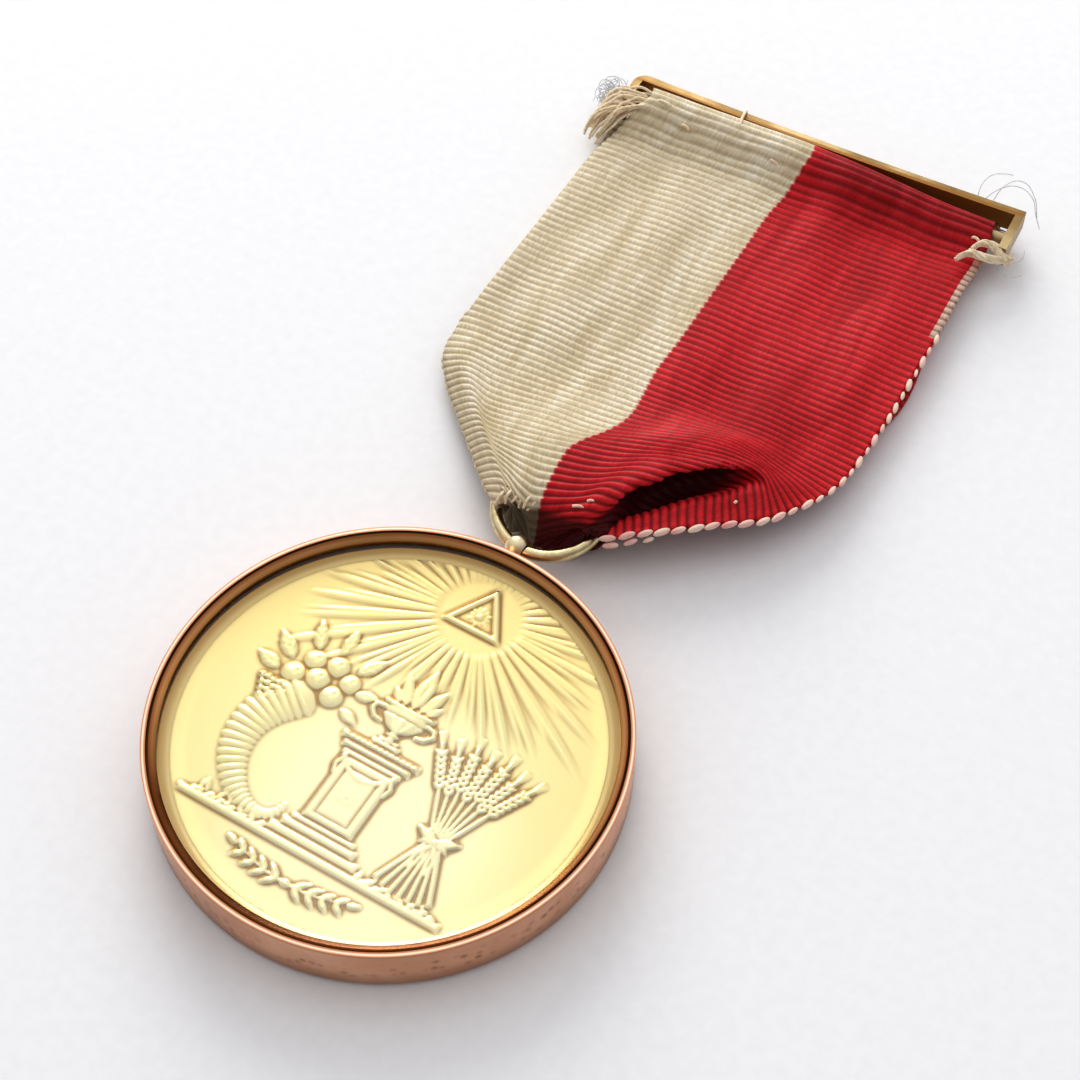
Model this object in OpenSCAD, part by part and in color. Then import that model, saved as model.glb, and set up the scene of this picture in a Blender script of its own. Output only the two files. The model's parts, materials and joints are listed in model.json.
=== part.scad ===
// Glazed medal hung by a jump ring from a two-colour ribbon with a brooch bar.
// The origin is the centre of the case back, on the surface that the jewel lies on.
// +X is to the right of the medal, +Y runs up the ribbon and +Z is the glazed front.

/* [Case] */
// Outer diameter of the round case
case_d = 38; // [34:0.5:46]
// Thickness of the case wall
case_wall = 0.4; // [0.3:0.05:0.7]
// Thickness of the closed back
back_t = 0.8; // [0.5:0.1:1.4]
// Radius of the rounded lower edge
edge_r = 0.7; // [0.3:0.05:0.9]
// Gap between parts that are seated in the case
seat_gap = 0.05; // [0.03:0.01:0.08]

/* [Bezel and glass] */
// Depth of the bezel's slope below the lip
bezel_drop = 0.4; // [0.3:0.1:1.2]
// Width of the bezel ring from its outer side to the opening
bezel_w = 0.7; // [0.5:0.05:1.2]
// Width of the flat land on top of the bezel ring
bezel_land = 0.2; // [0.1:0.05:0.4]
// Height of the straight edge under the bezel slope
bezel_edge = 0.2; // [0.15:0.05:0.5]
// Thickness of the glass
glass_t = 0.6; // [0.4:0.1:1.2]

/* [Medal] */
// Thickness of the medal at its field
medal_t = 2.5; // [1.6:0.1:3.2]
// Height of the raised border over the field
border_h = 0.5; // [0.46:0.02:0.8]
// Width of the raised border
border_w = 1.6; // [1.2:0.1:2.6]
// Side of the radiant triangle
triangle_side = 5.6; // [4:0.1:6]
// Number of rays in the full glory
ray_count = 44; // [20:2:60]
// Angle by which the medal is turned in its case
medal_turn = -3.5; // [-8:0.5:8]

/* [Suspension] */
// Diameter of the pierced ball on the case edge
ball_d = 2.2; // [2.1:0.1:3]
// Diameter of the hole through the ball
ball_bore = 1.5; // [1.4:0.05:1.6]
// Length of the neck between case wall and ball
neck_l = 1.05; // [0.8:0.05:1.6]
// Diameter of the neck
neck_d = 1.2; // [0.9:0.1:1.6]
// Diameter of the ring's wire
wire_d = 1.1; // [0.8:0.05:1.15]
// Mean diameter of the suspension ring
ring_d = 9.2; // [8.6:0.1:12]
// Angle by which the ring rises towards the ribbon
ring_tilt = 7; // [5:1:14]
// Angle by which the ring is drawn to the right
ring_yaw = 10; // [0:1:14]

/* [Ribbon] */
// Width of the ribbon
ribbon_w = 38; // [34:0.5:42]
// Length of the front leaf from the fold in the ring to the rod
leaf_l = 48.2; // [44:0.5:66]
// Thickness of one leaf
ribbon_t = 1; // [0.9:0.05:1.4]
// Gap between the leaves, and between ribbon and metal
cloth_gap = 0.25; // [0.2:0.05:0.4]
// Height of the raised pleat over the leaf
pleat_h = 1.3; // [0.6:0.1:1.8]
// Width of the creased strip along the left edge
crease_w = 2.1; // [1.2:0.1:3]

/* [Brooch bar] */
// Diameter of the rod inside the ribbon's upper fold
rod_d = 1.2; // [0.9:0.1:1.6]
// Height of the brass strip that the bar is bent from
strip_h = 2.1; // [1.8:0.1:3.4]
// Thickness of the top rail
rail_t = 0.8; // [0.6:0.05:1.4]
// Thickness of the side arms
arm_t = 0.8; // [0.6:0.05:1.2]
// Depth of the bow in the top rail
rail_bow = 0.3; // [0:0.1:1]
// Amount by which the rail's left end stands above its right end
rail_slant = 0.2; // [0:0.1:0.8]
// Gap between the ribbon's edges and the side arms
side_gap = 0.35; // [0.2:0.05:0.6]
// Diameter of the pin's wire
pin_d = 0.8; // [0.6:0.05:0.95]
// Height of the room for the pin under the bar
pin_room = 1.5; // [1.45:0.05:2]
// Gap round the pin in its bracket and its catch
pin_gap = 0.1; // [0.05:0.05:0.15]
// Length of the pin's flat pad
pad_l = 1.3; // [0.8:0.1:2]
// Width of the pin's flat pad
pad_w = 0.8; // [0.5:0.1:1.2]
// Length of the bracket that holds the pad
bracket_l = 1.6; // [1.2:0.1:2.4]
// Width of the catch
catch_w = 1.5; // [1:0.1:3]
// Wall of the bracket and of the catch
catch_t = 0.3; // [0.2:0.05:0.35]
// Distance from the bar's left end to the bracket's middle
bracket_in = 2.4; // [2:0.1:4]
// Distance from the bar's right end to the catch's middle
catch_in = 2.8; // [2.4:0.1:6]
// Length of the pin's tapered point
tip_l = 5; // [3:0.5:8]

/* [Hidden] */

// Stack of the case, from the back up
case_r = case_d / 2;
bore_r = case_r - case_wall;
seat_r = bore_r - seat_gap;
medal_z = back_t + seat_gap;
field_z = medal_z + medal_t;
glass_z = field_z + border_h + seat_gap;
bezel_z = glass_z + glass_t + seat_gap;
bezel_top = bezel_z + bezel_edge + bezel_drop;
case_h = bezel_top + seat_gap;
opening_r = seat_r - bezel_w;
field_r = seat_r - border_w;
// One hundredth of the field's radius, the unit of the struck design
u = field_r / 100;

// Suspension, from the case edge outwards
ball_y = case_r + neck_l + ball_d / 2;
ball_z = case_h / 2;
neck_end = ball_y - ball_bore / 2 - 0.04 * neck_d;
wire_r = wire_d / 2;
ring_r = ring_d / 2;
ring_x = ring_r * sin(ring_yaw);
ring_y = ball_y + ring_r * cos(ring_yaw) * cos(ring_tilt);
ring_bore = ring_r - wire_r;
ring_top_z = ball_z + 2 * ring_r * cos(ring_yaw) * sin(ring_tilt) + wire_r;

// Ribbon levels and ends
fold_y = ring_y - 0.42 * ring_bore;
rod_y = fold_y + leaf_l;
rod_z = pin_room + 0.5 * strip_h;
turn_r = rod_d / 2 + cloth_gap;
leaf_z = ribbon_t + cloth_gap;
crown_z = ring_top_z + cloth_gap;

// Front leaf, from the rod to the ring. along is a share of leaf_l, left and right are
// shares of ribbon_w from the ring's middle, the rises are shares of the way from the flat
// leaf up to the crown over the ring, lip_at is a share of the row's width, lip is a share
// of pleat_h and back is how far the underside lags behind, as a share of ring_bore.
//  along    left   right  rise_l rise_m rise_r lip_at  lip  back
leaf_rows = [
    [0.050, -0.398, 0.586, 0.28,  0.28,  0.28,  0.870, 0.00, 0.00],
    [0.140, -0.418, 0.579, 0.02,  0.03,  0.03,  0.870, 0.00, 0.00],
    [0.268, -0.424, 0.574, 0.00,  0.00,  0.00,  0.870, 0.00, 0.00],
    [0.410, -0.432, 0.563, 0.00,  0.02,  0.03,  0.870, 0.00, 0.00],
    [0.530, -0.439, 0.558, 0.02,  0.10,  0.12,  0.870, 0.00, 0.00],
    [0.613, -0.445, 0.550, 0.05,  0.25,  0.25,  0.870, 0.00, 0.00],
    [0.673, -0.446, 0.542, 0.10,  0.42,  0.35,  0.870, 0.15, 0.00],
    [0.724, -0.439, 0.526, 0.16,  0.60,  0.42,  0.870, 0.45, 0.00],
    [0.785, -0.389, 0.489, 0.28,  0.84,  0.48,  0.860, 0.85, 0.00],
    [0.846, -0.318, 0.440, 0.48,  1.00,  0.54,  0.770, 1.00, 0.00],
    [0.907, -0.242, 0.371, 0.75,  1.02,  0.64,  0.700, 1.00, 0.00],
    [0.951, -0.187, 0.295, 0.86,  1.00,  0.78,  0.690, 0.70, 0.20],
    [0.986, -0.142, 0.210, 0.90,  0.98,  0.88,  0.740, 0.35, 0.42],
    [1.000, -0.105, 0.150, 0.90,  0.92,  0.90,  0.760, 0.10, 0.50]
];

// Bundle through the ring. out_y and in_y are shares of ring_bore from the ring's middle,
// out_z and in_z are shares of the crown's height and half is a share of ring_bore.
//  out_y  out_z  in_y  in_z  half
fold_rows = [
    [-0.50, 0.92, 0.02, 0.80, 0.70],
    [-0.52, 0.60, -0.04, 0.60, 0.68],
    [-0.48, 0.26, 0.00, 0.42, 0.70],
    [-0.26, 0.06, 0.20, 0.30, 0.80]
];

// Back leaf, from the ring to the rod: along, left, right
back_rows = [
    [0.925, -0.130, 0.150],
    [0.850, -0.245, 0.285],
    [0.770, -0.365, 0.415],
    [0.690, -0.420, 0.505],
    [0.550, -0.425, 0.540],
    [0.310, -0.412, 0.555],
    [0.090, -0.400, 0.571]
];

// Ribbon edges where it goes round the rod
rod_left = -0.395;
rod_right = 0.589;

// Number of strips across the ribbon in each of its five zones, from left to right
zones = [2, 8, 2, 2, 4];
cols = zones[0] + zones[1] + zones[2] + zones[3] + zones[4];
substeps = 2;

function mix(a, b, t) = a + (b - a) * t;
function ease(t) = t * t * (3 - 2 * t);

// Column where each zone ends
c1 = zones[0];
c2 = c1 + zones[1];
c3 = c2 + zones[2];
c4 = c3 + zones[3];

// X of column j in a row from xl to xr with its lip at share lip_at
function col_x(j, xl, xr, lip_at) =
    let (
        w = xr - xl,
        c = xl + min(crease_w, 0.15 * w),
        p = xl + lip_at * w,
        g = p + 0.035 * w,
        f = p + 0.112 * w
    )
    j <= c1 ? mix(xl, c, j / zones[0]) :
    j <= c2 ? mix(c, p, (j - c1) / zones[1]) :
    j <= c3 ? mix(p, g, (j - c2) / zones[2]) :
    j <= c4 ? mix(g, f, (j - c3) / zones[3]) :
    mix(f, xr, (j - c4) / zones[4]);

// Height of the smooth leaf at share t of its width: a slope, a plateau and a slope
plateau = [0.32, 0.55];
function rise_at(t, l, m, r) =
    t < plateau[0] ? mix(l, m, ease(t / plateau[0])) :
    t < plateau[1] ? m :
    mix(m, r, ease((t - plateau[1]) / (1 - plateau[1])));

// Height of the pleat over the smooth leaf, as a share of pleat_h
function fold_at(j) =
    j <= c1 ? 0 :
    j <= c2 ? pow((j - c1) / zones[1], 3) :
    j <= c3 ? 1 - ease((j - c2) / zones[2]) :
    0;

// One section: outer points from left to right, then inner points from left to right
function leaf_section(r) =
    let (
        xl = ring_x + r[1] * ribbon_w,
        xr = ring_x + r[2] * ribbon_w,
        y = rod_y - r[0] * leaf_l,
        x = [for (j = [0:cols]) col_x(j, xl, xr, r[6])],
        z = [for (j = [0:cols])
            mix(leaf_z, crown_z, rise_at((x[j] - xl) / (xr - xl), r[3], r[4], r[5]))]
    )
    concat(
        [for (j = [0:cols]) [x[j], y, z[j] + ribbon_t + fold_at(j) * r[7] * pleat_h]],
        [for (j = [0:cols]) [x[j], y + r[8] * ring_bore, z[j]]]
    );

function bundle_section(r) =
    let (
        half = r[4] * ring_bore,
        x = [for (j = [0:cols]) col_x(j, ring_x - half, ring_x + half, 0.7)]
    )
    concat(
        [for (j = [0:cols]) [x[j], ring_y + r[0] * ring_bore, r[1] * crown_z]],
        [for (j = [0:cols]) [x[j], ring_y + r[2] * ring_bore, r[3] * crown_z]]
    );

function back_section(r) =
    let (
        xl = ring_x + r[1] * ribbon_w,
        xr = ring_x + r[2] * ribbon_w,
        y = rod_y - r[0] * leaf_l,
        x = [for (j = [0:cols]) col_x(j, xl, xr, 0.8)]
    )
    concat(
        [for (j = [0:cols]) [x[j], y, 0]],
        [for (j = [0:cols]) [x[j], y, ribbon_t]]
    );

// The turn round the rod, at angle a from the bottom
function turn_section(a) =
    let (
        xl = ring_x + rod_left * ribbon_w,
        xr = ring_x + rod_right * ribbon_w,
        x = [for (j = [0:cols]) col_x(j, xl, xr, 0.8)],
        ro = turn_r + ribbon_t,
        ri = turn_r
    )
    concat(
        [for (j = [0:cols]) [x[j], rod_y + ro * sin(a), rod_z - ro * cos(a)]],
        [for (j = [0:cols]) [x[j], rod_y + ri * sin(a), rod_z - ri * cos(a)]]
    );

keys = concat(
    [for (r = leaf_rows) leaf_section(r)],
    [for (r = fold_rows) bundle_section(r)],
    [for (r = back_rows) back_section(r)],
    [for (a = [0:36:180]) turn_section(a)]
);

// A smooth curve through four points, between the middle two
function through(a, b, c, d, t) =
    0.5 * (2 * b + (c - a) * t + (2 * a - 5 * b + 4 * c - d) * t * t
    + (3 * b - a - 3 * c + d) * t * t * t);

function blend(i, t) =
    let (n = len(keys))
    [for (k = [0:2 * cols + 1])
        let (p = through(keys[(i + n - 1) % n][k], keys[i][k],
            keys[(i + 1) % n][k], keys[(i + 2) % n][k], t))
        [p[0], p[1], max(0, p[2])]];

sections = [for (i = [0:len(keys) - 1]) for (s = [0:substeps - 1]) blend(i, s / substeps)];

// Case body: back, wall, neck and pierced ball are one soldered piece
module case_body() {
    color([0.80, 0.53, 0.40])
    union() {
        rotate_extrude($fn = 128) case_profile();
        translate([0, case_r - case_wall / 2, ball_z]) rotate([-90, 0, 0])
            cylinder(d = neck_d, h = neck_end - case_r + case_wall / 2, $fn = 32);
        translate([0, ball_y, ball_z]) rotate([0, 0, -ring_yaw]) rotate([0, 90, 0])
            rotate_extrude($fn = 48) ball_profile();
    }
}

// Half section of the pierced ball beside its hole
module ball_profile() {
    half = acos(ball_bore / ball_d);
    steps = 12;
    polygon([for (i = [0:steps])
        let (a = mix(-half, half, i / steps)) [ball_d / 2 * cos(a), ball_d / 2 * sin(a)]]);
}

module case_profile() {
    polygon(concat(
        [[0, 0]],
        [for (a = [0:15:90])
            [case_r - edge_r + edge_r * sin(a), edge_r - edge_r * cos(a)]],
        [[case_r, case_h], [bore_r, case_h], [bore_r, back_t], [0, back_t]]
    ));
}

// Bezel ring with its sloping inner face
module bezel_ring() {
    color([0.72, 0.48, 0.26])
    rotate_extrude($fn = 128)
        polygon([
            [opening_r, bezel_z],
            [seat_r, bezel_z],
            [seat_r, bezel_top],
            [seat_r - bezel_land, bezel_top],
            [opening_r, bezel_z + bezel_edge]
        ]);
}

// Flat front glass with a small bevel
module front_glass() {
    bevel = glass_t / 5;
    color([0.92, 0.95, 0.94, 0.3])
    rotate_extrude($fn = 128)
        polygon([
            [0, glass_z],
            [seat_r, glass_z],
            [seat_r, glass_z + glass_t - bevel],
            [seat_r - bevel, glass_z + glass_t],
            [0, glass_z + glass_t]
        ]);
}

// Struck medal: disc, raised border and relief
module medal() {
    color([0.91, 0.77, 0.42])
    union() {
        translate([0, 0, medal_z]) cylinder(r = seat_r, h = medal_t, $fn = 128);
        translate([0, 0, field_z - medal_t / 2]) difference() {
            cylinder(r = seat_r, h = medal_t / 2 + border_h, $fn = 128);
            translate([0, 0, -1]) cylinder(r = field_r, h = medal_t + border_h + 2, $fn = 128);
        }
        translate([0, 0, field_z]) rotate([0, 0, medal_turn]) {
            glory();
            altar();
            horn();
            sheaf();
            exergue();
        }
    }
}

// Top of a large ball that stands h above the field and is a wide at its foot
module boss(a, h) {
    big = (a * a + h * h) / (2 * h);
    intersection() {
        translate([0, 0, h - big]) sphere(r = big, $fn = 48);
        translate([0, 0, -h / 3]) cylinder(r = 1.15 * a, h = 2 * h, $fn = 32);
    }
}

// Pointed leaf of length l and width w, with its foot at the origin
module leaf(l, w, h) {
    arc_r = (l * l / 4 + w * w / 4) / w;
    translate([0, 0, -h / 3]) linear_extrude(height = h * 4 / 3) intersection() {
        translate([arc_r - w / 2, l / 2]) circle(r = arc_r, $fn = 48);
        translate([w / 2 - arc_r, l / 2]) circle(r = arc_r, $fn = 48);
    }
}

module slab(x0, y0, x1, y1, h) {
    translate([x0, y0, -h / 3]) cube([x1 - x0, y1 - y0, h * 4 / 3]);
}

// Radiant triangle at the top of the field
module glory() {
    top_y = field_r - 3 * u - triangle_side * 0.58;
    h = 0.7 * u;
    intersection() {
        translate([0, top_y, 0]) for (i = [0:ray_count - 1]) {
            turn = 360 * (i + 0.5) / ray_count;
            reach = (i % 2 == 0 ? 58 : 42) * u;
            rotate([0, 0, turn]) translate([0, 0, -h]) linear_extrude(height = 2 * h)
                polygon([[22 * u, 0], [reach * 0.8, -0.8 * u], [reach, 0], [reach * 0.8, 0.8 * u]]);
        }
        translate([0, 0, -1]) cylinder(r = field_r - 2 * u, h = 3, $fn = 96);
    }
    translate([0, top_y, -0.3 * u]) linear_extrude(height = 2.1 * u) difference() {
        rotate(90) circle(d = triangle_side * 1.1547, $fn = 3);
        rotate(90) circle(d = triangle_side * 0.80, $fn = 3);
    }
    translate([0, top_y, 0]) boss(3 * u, 1.4 * u);
}

// Altar with steps, a panel, an urn and a flame
module altar() {
    slab(-24 * u, -66 * u, 24 * u, -60 * u, 1.6 * u);
    slab(-20 * u, -60 * u, 20 * u, -55 * u, 1.9 * u);
    slab(-14 * u, -55 * u, 14 * u, -14 * u, 2.2 * u);
    slab(-18 * u, -14 * u, 18 * u, -9 * u, 2.4 * u);
    slab(-21 * u, -9 * u, 21 * u, -5 * u, 2 * u);
    translate([0, -35 * u, 1.9 * u]) linear_extrude(height = 0.6 * u) difference() {
        square([20 * u, 30 * u], center = true);
        square([16 * u, 26 * u], center = true);
    }
    translate([0, -35 * u, 2.2 * u]) for (a = [0:60:300]) rotate([0, 0, a])
        translate([0, 1 * u, 0]) leaf(5.5 * u, 2.6 * u, 0.4 * u);
    slab(-7 * u, -5 * u, 7 * u, -2 * u, 1.8 * u);
    slab(-3 * u, -2 * u, 3 * u, 4 * u, 1.5 * u);
    translate([0, 10 * u, 0]) boss(12 * u, 2.4 * u);
    slab(-13 * u, 16 * u, 13 * u, 19 * u, 1.8 * u);
    translate([0, 18 * u, 0]) leaf(24 * u, 9 * u, 1.7 * u);
    translate([-3 * u, 18 * u, 0]) rotate([0, 0, 22]) leaf(17 * u, 7 * u, 1.3 * u);
    translate([3 * u, 18 * u, 0]) rotate([0, 0, -22]) leaf(17 * u, 7 * u, 1.3 * u);
}

// Horn of plenty on the left, from its tail to its mouth, with fruit and leaves
module horn() {
    for (p = [[-22, -52, 1.6], [-25, -59, 2.6], [-32, -61, 3.8], [-41, -59, 5.2], [-49, -53, 6.6],
            [-56, -44, 8], [-60, -33, 9.3], [-60, -21, 10.5], [-56, -10, 11.6], [-49, -1, 12.6]])
        translate([p[0] * u, p[1] * u, 0]) boss(p[2] * u, (0.9 + p[2] / 8) * u);
    for (p = [[-58, 7], [-47, 12], [-36, 6], [-42, 20], [-53, 18], [-32, 15]])
        translate([p[0] * u, p[1] * u, 0]) boss(5.4 * u, 2.3 * u);
    for (p = [[-63, 14, 60], [-57, 25, 28], [-44, 28, 0], [-31, 22, -40]])
        translate([p[0] * u, p[1] * u, 0]) rotate([0, 0, p[2]]) leaf(14 * u, 6 * u, 1 * u);
}

// Sheaf of wheat on the right
module sheaf() {
    for (i = [-3:3]) {
        translate([46 * u, -34 * u, 0]) rotate([0, 0, -i * 8]) {
            slab(-0.9 * u, 0, 0.9 * u, 34 * u, 1.2 * u);
            translate([0, 32 * u, 0]) leaf(18 * u, 6.5 * u, 2 * u);
        }
        translate([46 * u, -34 * u, 0]) rotate([0, 0, 180 + i * 7])
            slab(-1 * u, 0, 1 * u, 30 * u, 1.2 * u);
    }
    slab(39 * u, -37 * u, 53 * u, -31 * u, 2.3 * u);
}

// Ground line and a laurel sprig under it
module exergue() {
    slab(-64 * u, -70 * u, 64 * u, -66 * u, 1.3 * u);
    slab(-24 * u, -83.6 * u, 24 * u, -82.4 * u, 0.8 * u);
    for (i = [-4:4]) {
        side = i < 0 ? -1 : 1;
        translate([i * 5 * u, -83 * u, 0]) {
            rotate([0, 0, -side * 55]) leaf(7.5 * u, 3 * u, 0.9 * u);
            rotate([0, 0, -side * 125]) leaf(7.5 * u, 3 * u, 0.9 * u);
        }
    }
}

// Round wire ring through the ball and the ribbon's fold
module suspension_ring() {
    color([0.88, 0.82, 0.64])
    translate([0, ball_y, ball_z]) rotate([ring_tilt, 0, 0]) rotate([0, 0, -ring_yaw])
        translate([0, ring_r, 0]) rotate_extrude($fn = 96)
            translate([ring_r, 0]) circle(r = wire_r, $fn = 32);
}

// Ribbon: one band that goes through the ring and round the rod
module ribbon() {
    n = len(sections);
    m = cols + 1;
    k = 2 * m;
    pts = [for (s = sections) for (p = s) p];
    outer = [for (i = [0:n - 1]) for (j = [0:cols - 1])
        let (a = i * k + j, b = ((i + 1) % n) * k + j)
        each [[a, a + 1, b], [a + 1, b + 1, b]]];
    inner = [for (i = [0:n - 1]) for (j = [0:cols - 1])
        let (a = i * k + m + j, b = ((i + 1) % n) * k + m + j)
        each [[a, b, a + 1], [a + 1, b, b + 1]]];
    left = [for (i = [0:n - 1])
        let (a = i * k, b = ((i + 1) % n) * k)
        each [[a, b, a + m], [a + m, b, b + m]]];
    right = [for (i = [0:n - 1])
        let (a = i * k + cols, b = ((i + 1) % n) * k + cols)
        each [[a, a + m, b], [a + m, b + m, b]]];
    color([0.80, 0.20, 0.22])
    polyhedron(points = pts, faces = concat(outer, inner, left, right), convexity = 8);
}

// Brooch bar, from the ribbon's edges outwards
bar_x0 = ring_x + rod_left * ribbon_w - side_gap - arm_t;
bar_x1 = ring_x + rod_right * ribbon_w + side_gap + arm_t;
bar_mid = (bar_x0 + bar_x1) / 2;
bar_half = (bar_x1 - bar_x0) / 2;
rail_y = rod_y + turn_r + ribbon_t + cloth_gap;
corner_r = arm_t + 0.5;
arm_end_left = rod_y - rod_d;
arm_end_right = rod_y - 1.7 * rod_d;
// The pin runs under the rail from its bracket to the catch
bracket_x = bar_x0 + bracket_in;
catch_x = bar_x1 - catch_in;
bracket_y = rail_at(bracket_x) + rail_t / 2;
catch_y = rail_at(catch_x) + rail_t / 2;
pin_turn = atan2(catch_y - bracket_y, catch_x - bracket_x);
pin_z = pin_room / 2;
pin_half = pin_d / 2 + pin_gap;
// How far one soldered part of the bar reaches into the next
weld = 0.3;

// Y of the rail's inner edge at x
function rail_at(x) =
    let (s = (x - bar_mid) / bar_half)
    rail_y + rail_bow * s * s + rail_slant * (1 - s) / 2;

// Plan of the bar: bowed rail, rounded left end, square right end and two arms
module bar_outline() {
    steps = 24;
    in0 = bar_x0 + arm_t;
    in1 = bar_x1 - arm_t;
    round_y = rail_at(bar_x0) + rail_t - corner_r;
    polygon(concat(
        [[bar_x0, arm_end_left]],
        [for (a = [0:15:90])
            [bar_x0 + corner_r - corner_r * cos(a), round_y + corner_r * sin(a)]],
        [for (i = [2:steps])
            let (x = mix(bar_x0, bar_x1, i / steps)) [x, rail_at(x) + rail_t]],
        [[bar_x1, arm_end_right], [in1, arm_end_right]],
        [for (i = [0:steps]) let (x = mix(in1, in0, i / steps)) [x, rail_at(x)]],
        [[in0, arm_end_left]]
    ));
}

// Brooch bar: rail, arms, rod, bracket and catch are one soldered piece
module brooch_frame() {
    color([0.74, 0.60, 0.33])
    union() {
        translate([0, 0, pin_room]) linear_extrude(height = strip_h) bar_outline();
        translate([bar_x0 + arm_t / 2, rod_y, rod_z]) rotate([0, 90, 0])
            cylinder(d = rod_d, h = bar_x1 - bar_x0 - arm_t, $fn = 32);
        translate([bracket_x, bracket_y, 0]) rotate([0, 0, pin_turn]) pin_bracket();
        translate([catch_x, catch_y, 0]) rotate([0, 0, pin_turn]) pin_catch();
    }
}

// Bracket: two lugs under a plate, with the pin's pad between them
module pin_bracket() {
    gap_w = pad_w + 2 * pin_gap;
    outer_w = gap_w + 2 * catch_t;
    difference() {
        translate([-bracket_l / 2, -outer_w / 2, pin_gap])
            cube([bracket_l, outer_w, pin_room - pin_gap + weld]);
        translate([-bracket_l, -gap_w / 2, -pin_gap])
            cube([2 * bracket_l, gap_w, pin_z + pin_half + pin_gap]);
    }
}

// Catch: a hook that is open towards the ribbon
module pin_catch() {
    difference() {
        translate([-catch_w / 2, -pin_half, 0])
            cube([catch_w, 2 * pin_half + catch_t, pin_room + weld]);
        translate([-catch_w, -2 * pin_half, pin_z - pin_half])
            cube([2 * catch_w, 3 * pin_half, 2 * pin_half]);
    }
}

// Brooch pin: one plain piece with a flat pad and a pointed end
module brooch_pin() {
    wire_l = catch_x - bracket_x - tip_l + catch_w;
    color([0.62, 0.58, 0.50])
    translate([bracket_x, bracket_y, pin_z]) rotate([0, 0, pin_turn]) union() {
        translate([-pad_l / 2, -pad_w / 2, -pin_d / 2]) cube([pad_l, pad_w, pin_d]);
        rotate([0, 90, 0]) cylinder(d = pin_d, h = wire_l, $fn = 32);
        translate([wire_l, 0, 0]) rotate([0, 90, 0])
            cylinder(d1 = pin_d, d2 = pin_d / 8, h = tip_l, $fn = 32);
    }
}

case_body();
bezel_ring();
front_glass();
medal();
suspension_ring();
ribbon();
brooch_frame();
brooch_pin();
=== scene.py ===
import json
import math
import bpy
import numpy as np
from mathutils import Matrix, Vector

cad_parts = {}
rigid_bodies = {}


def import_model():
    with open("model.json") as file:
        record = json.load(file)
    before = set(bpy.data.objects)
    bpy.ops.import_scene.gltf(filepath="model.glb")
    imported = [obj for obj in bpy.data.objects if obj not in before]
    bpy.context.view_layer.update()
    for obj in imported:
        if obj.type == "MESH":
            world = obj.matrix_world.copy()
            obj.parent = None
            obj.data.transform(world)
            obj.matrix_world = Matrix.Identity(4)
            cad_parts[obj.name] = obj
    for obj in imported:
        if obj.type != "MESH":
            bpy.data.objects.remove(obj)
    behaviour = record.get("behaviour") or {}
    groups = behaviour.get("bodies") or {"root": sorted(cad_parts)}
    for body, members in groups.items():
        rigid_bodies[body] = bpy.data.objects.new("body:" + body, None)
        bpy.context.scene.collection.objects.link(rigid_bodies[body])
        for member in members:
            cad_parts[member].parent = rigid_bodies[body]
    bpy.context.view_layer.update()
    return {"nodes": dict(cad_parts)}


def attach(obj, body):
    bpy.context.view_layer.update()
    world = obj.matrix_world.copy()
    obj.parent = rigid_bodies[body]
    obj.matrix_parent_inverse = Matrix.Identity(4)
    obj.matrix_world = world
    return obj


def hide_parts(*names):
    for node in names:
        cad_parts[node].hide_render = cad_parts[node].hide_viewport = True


# A glazed medal in a rose gold case on a cream and crimson ribbon with a brooch bar.
# Sizes are in millimetres in the dictionaries, and become metres where a piece is made.
bpy.ops.object.select_all(action="SELECT")
bpy.ops.object.delete()
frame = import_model()
nodes = frame["nodes"]
mm = 0.001
print("frame loaded with", len(nodes), "nodes")


# Small tools

def hexColour(code):
    # sRGB hex to the linear colour that the shaders use
    parts = [int(code[i:i + 2], 16) / 255 for i in (1, 3, 5)]
    return (*[p / 12.92 if p <= 0.04045 else ((p + 0.055) / 1.055) ** 2.4 for p in parts], 1)


def newMaterial(name):
    material = bpy.data.materials.new(name)
    material.use_nodes = True
    material.node_tree.nodes.clear()
    return material


def addNode(material, kind, settings=None, links=None, stops=None):
    # settings are attributes or input values, links are sources by input name, stops fill a ramp
    made = material.node_tree.nodes.new("ShaderNode" + kind)
    for name, value in (settings or {}).items():
        if isinstance(name, str) and hasattr(made, name):
            setattr(made, name, value)
        else:
            made.inputs[name].default_value = value
    for name, source in (links or {}).items():
        material.node_tree.links.new(source, made.inputs[name])
    for place, (position, colour) in enumerate(stops or []):
        if place >= len(made.color_ramp.elements):
            made.color_ramp.elements.new(position)
        made.color_ramp.elements[place].position = position
        made.color_ramp.elements[place].color = hexColour(colour)
    return made


def closeMaterial(material, shader):
    addNode(material, "OutputMaterial", links={"Surface": shader.outputs[0]})
    return material


def giveMaterial(piece, material):
    piece.data.materials.clear()
    piece.data.materials.append(material)


def deselectAll():
    for thing in bpy.context.selected_objects:
        thing.select_set(False)


def lastMade(name):
    piece = bpy.context.object
    piece.name = name
    piece.data.name = name
    return piece


def makeActive(piece):
    deselectAll()
    piece.select_set(True)
    bpy.context.view_layer.objects.active = piece


def applyModifiers(piece):
    makeActive(piece)
    for modifier in list(piece.modifiers):
        bpy.ops.object.modifier_apply(modifier=modifier.name)


def smoothShade(piece, angle=None):
    makeActive(piece)
    if angle is None:
        bpy.ops.object.shade_smooth()
    else:
        bpy.ops.object.shade_smooth_by_angle(angle=math.radians(angle))


def readPoints(piece):
    points = np.empty(len(piece.data.vertices) * 3)
    piece.data.vertices.foreach_get("co", points)
    return points.reshape(-1, 3)


def writePoints(piece, points):
    piece.data.vertices.foreach_set("co", np.asarray(points, float).ravel())
    piece.data.update()


def setAttribute(piece, name, values):
    made = piece.data.attributes.new(name, "FLOAT", "POINT")
    made.data.foreach_set("value", np.asarray(values, float))


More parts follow.
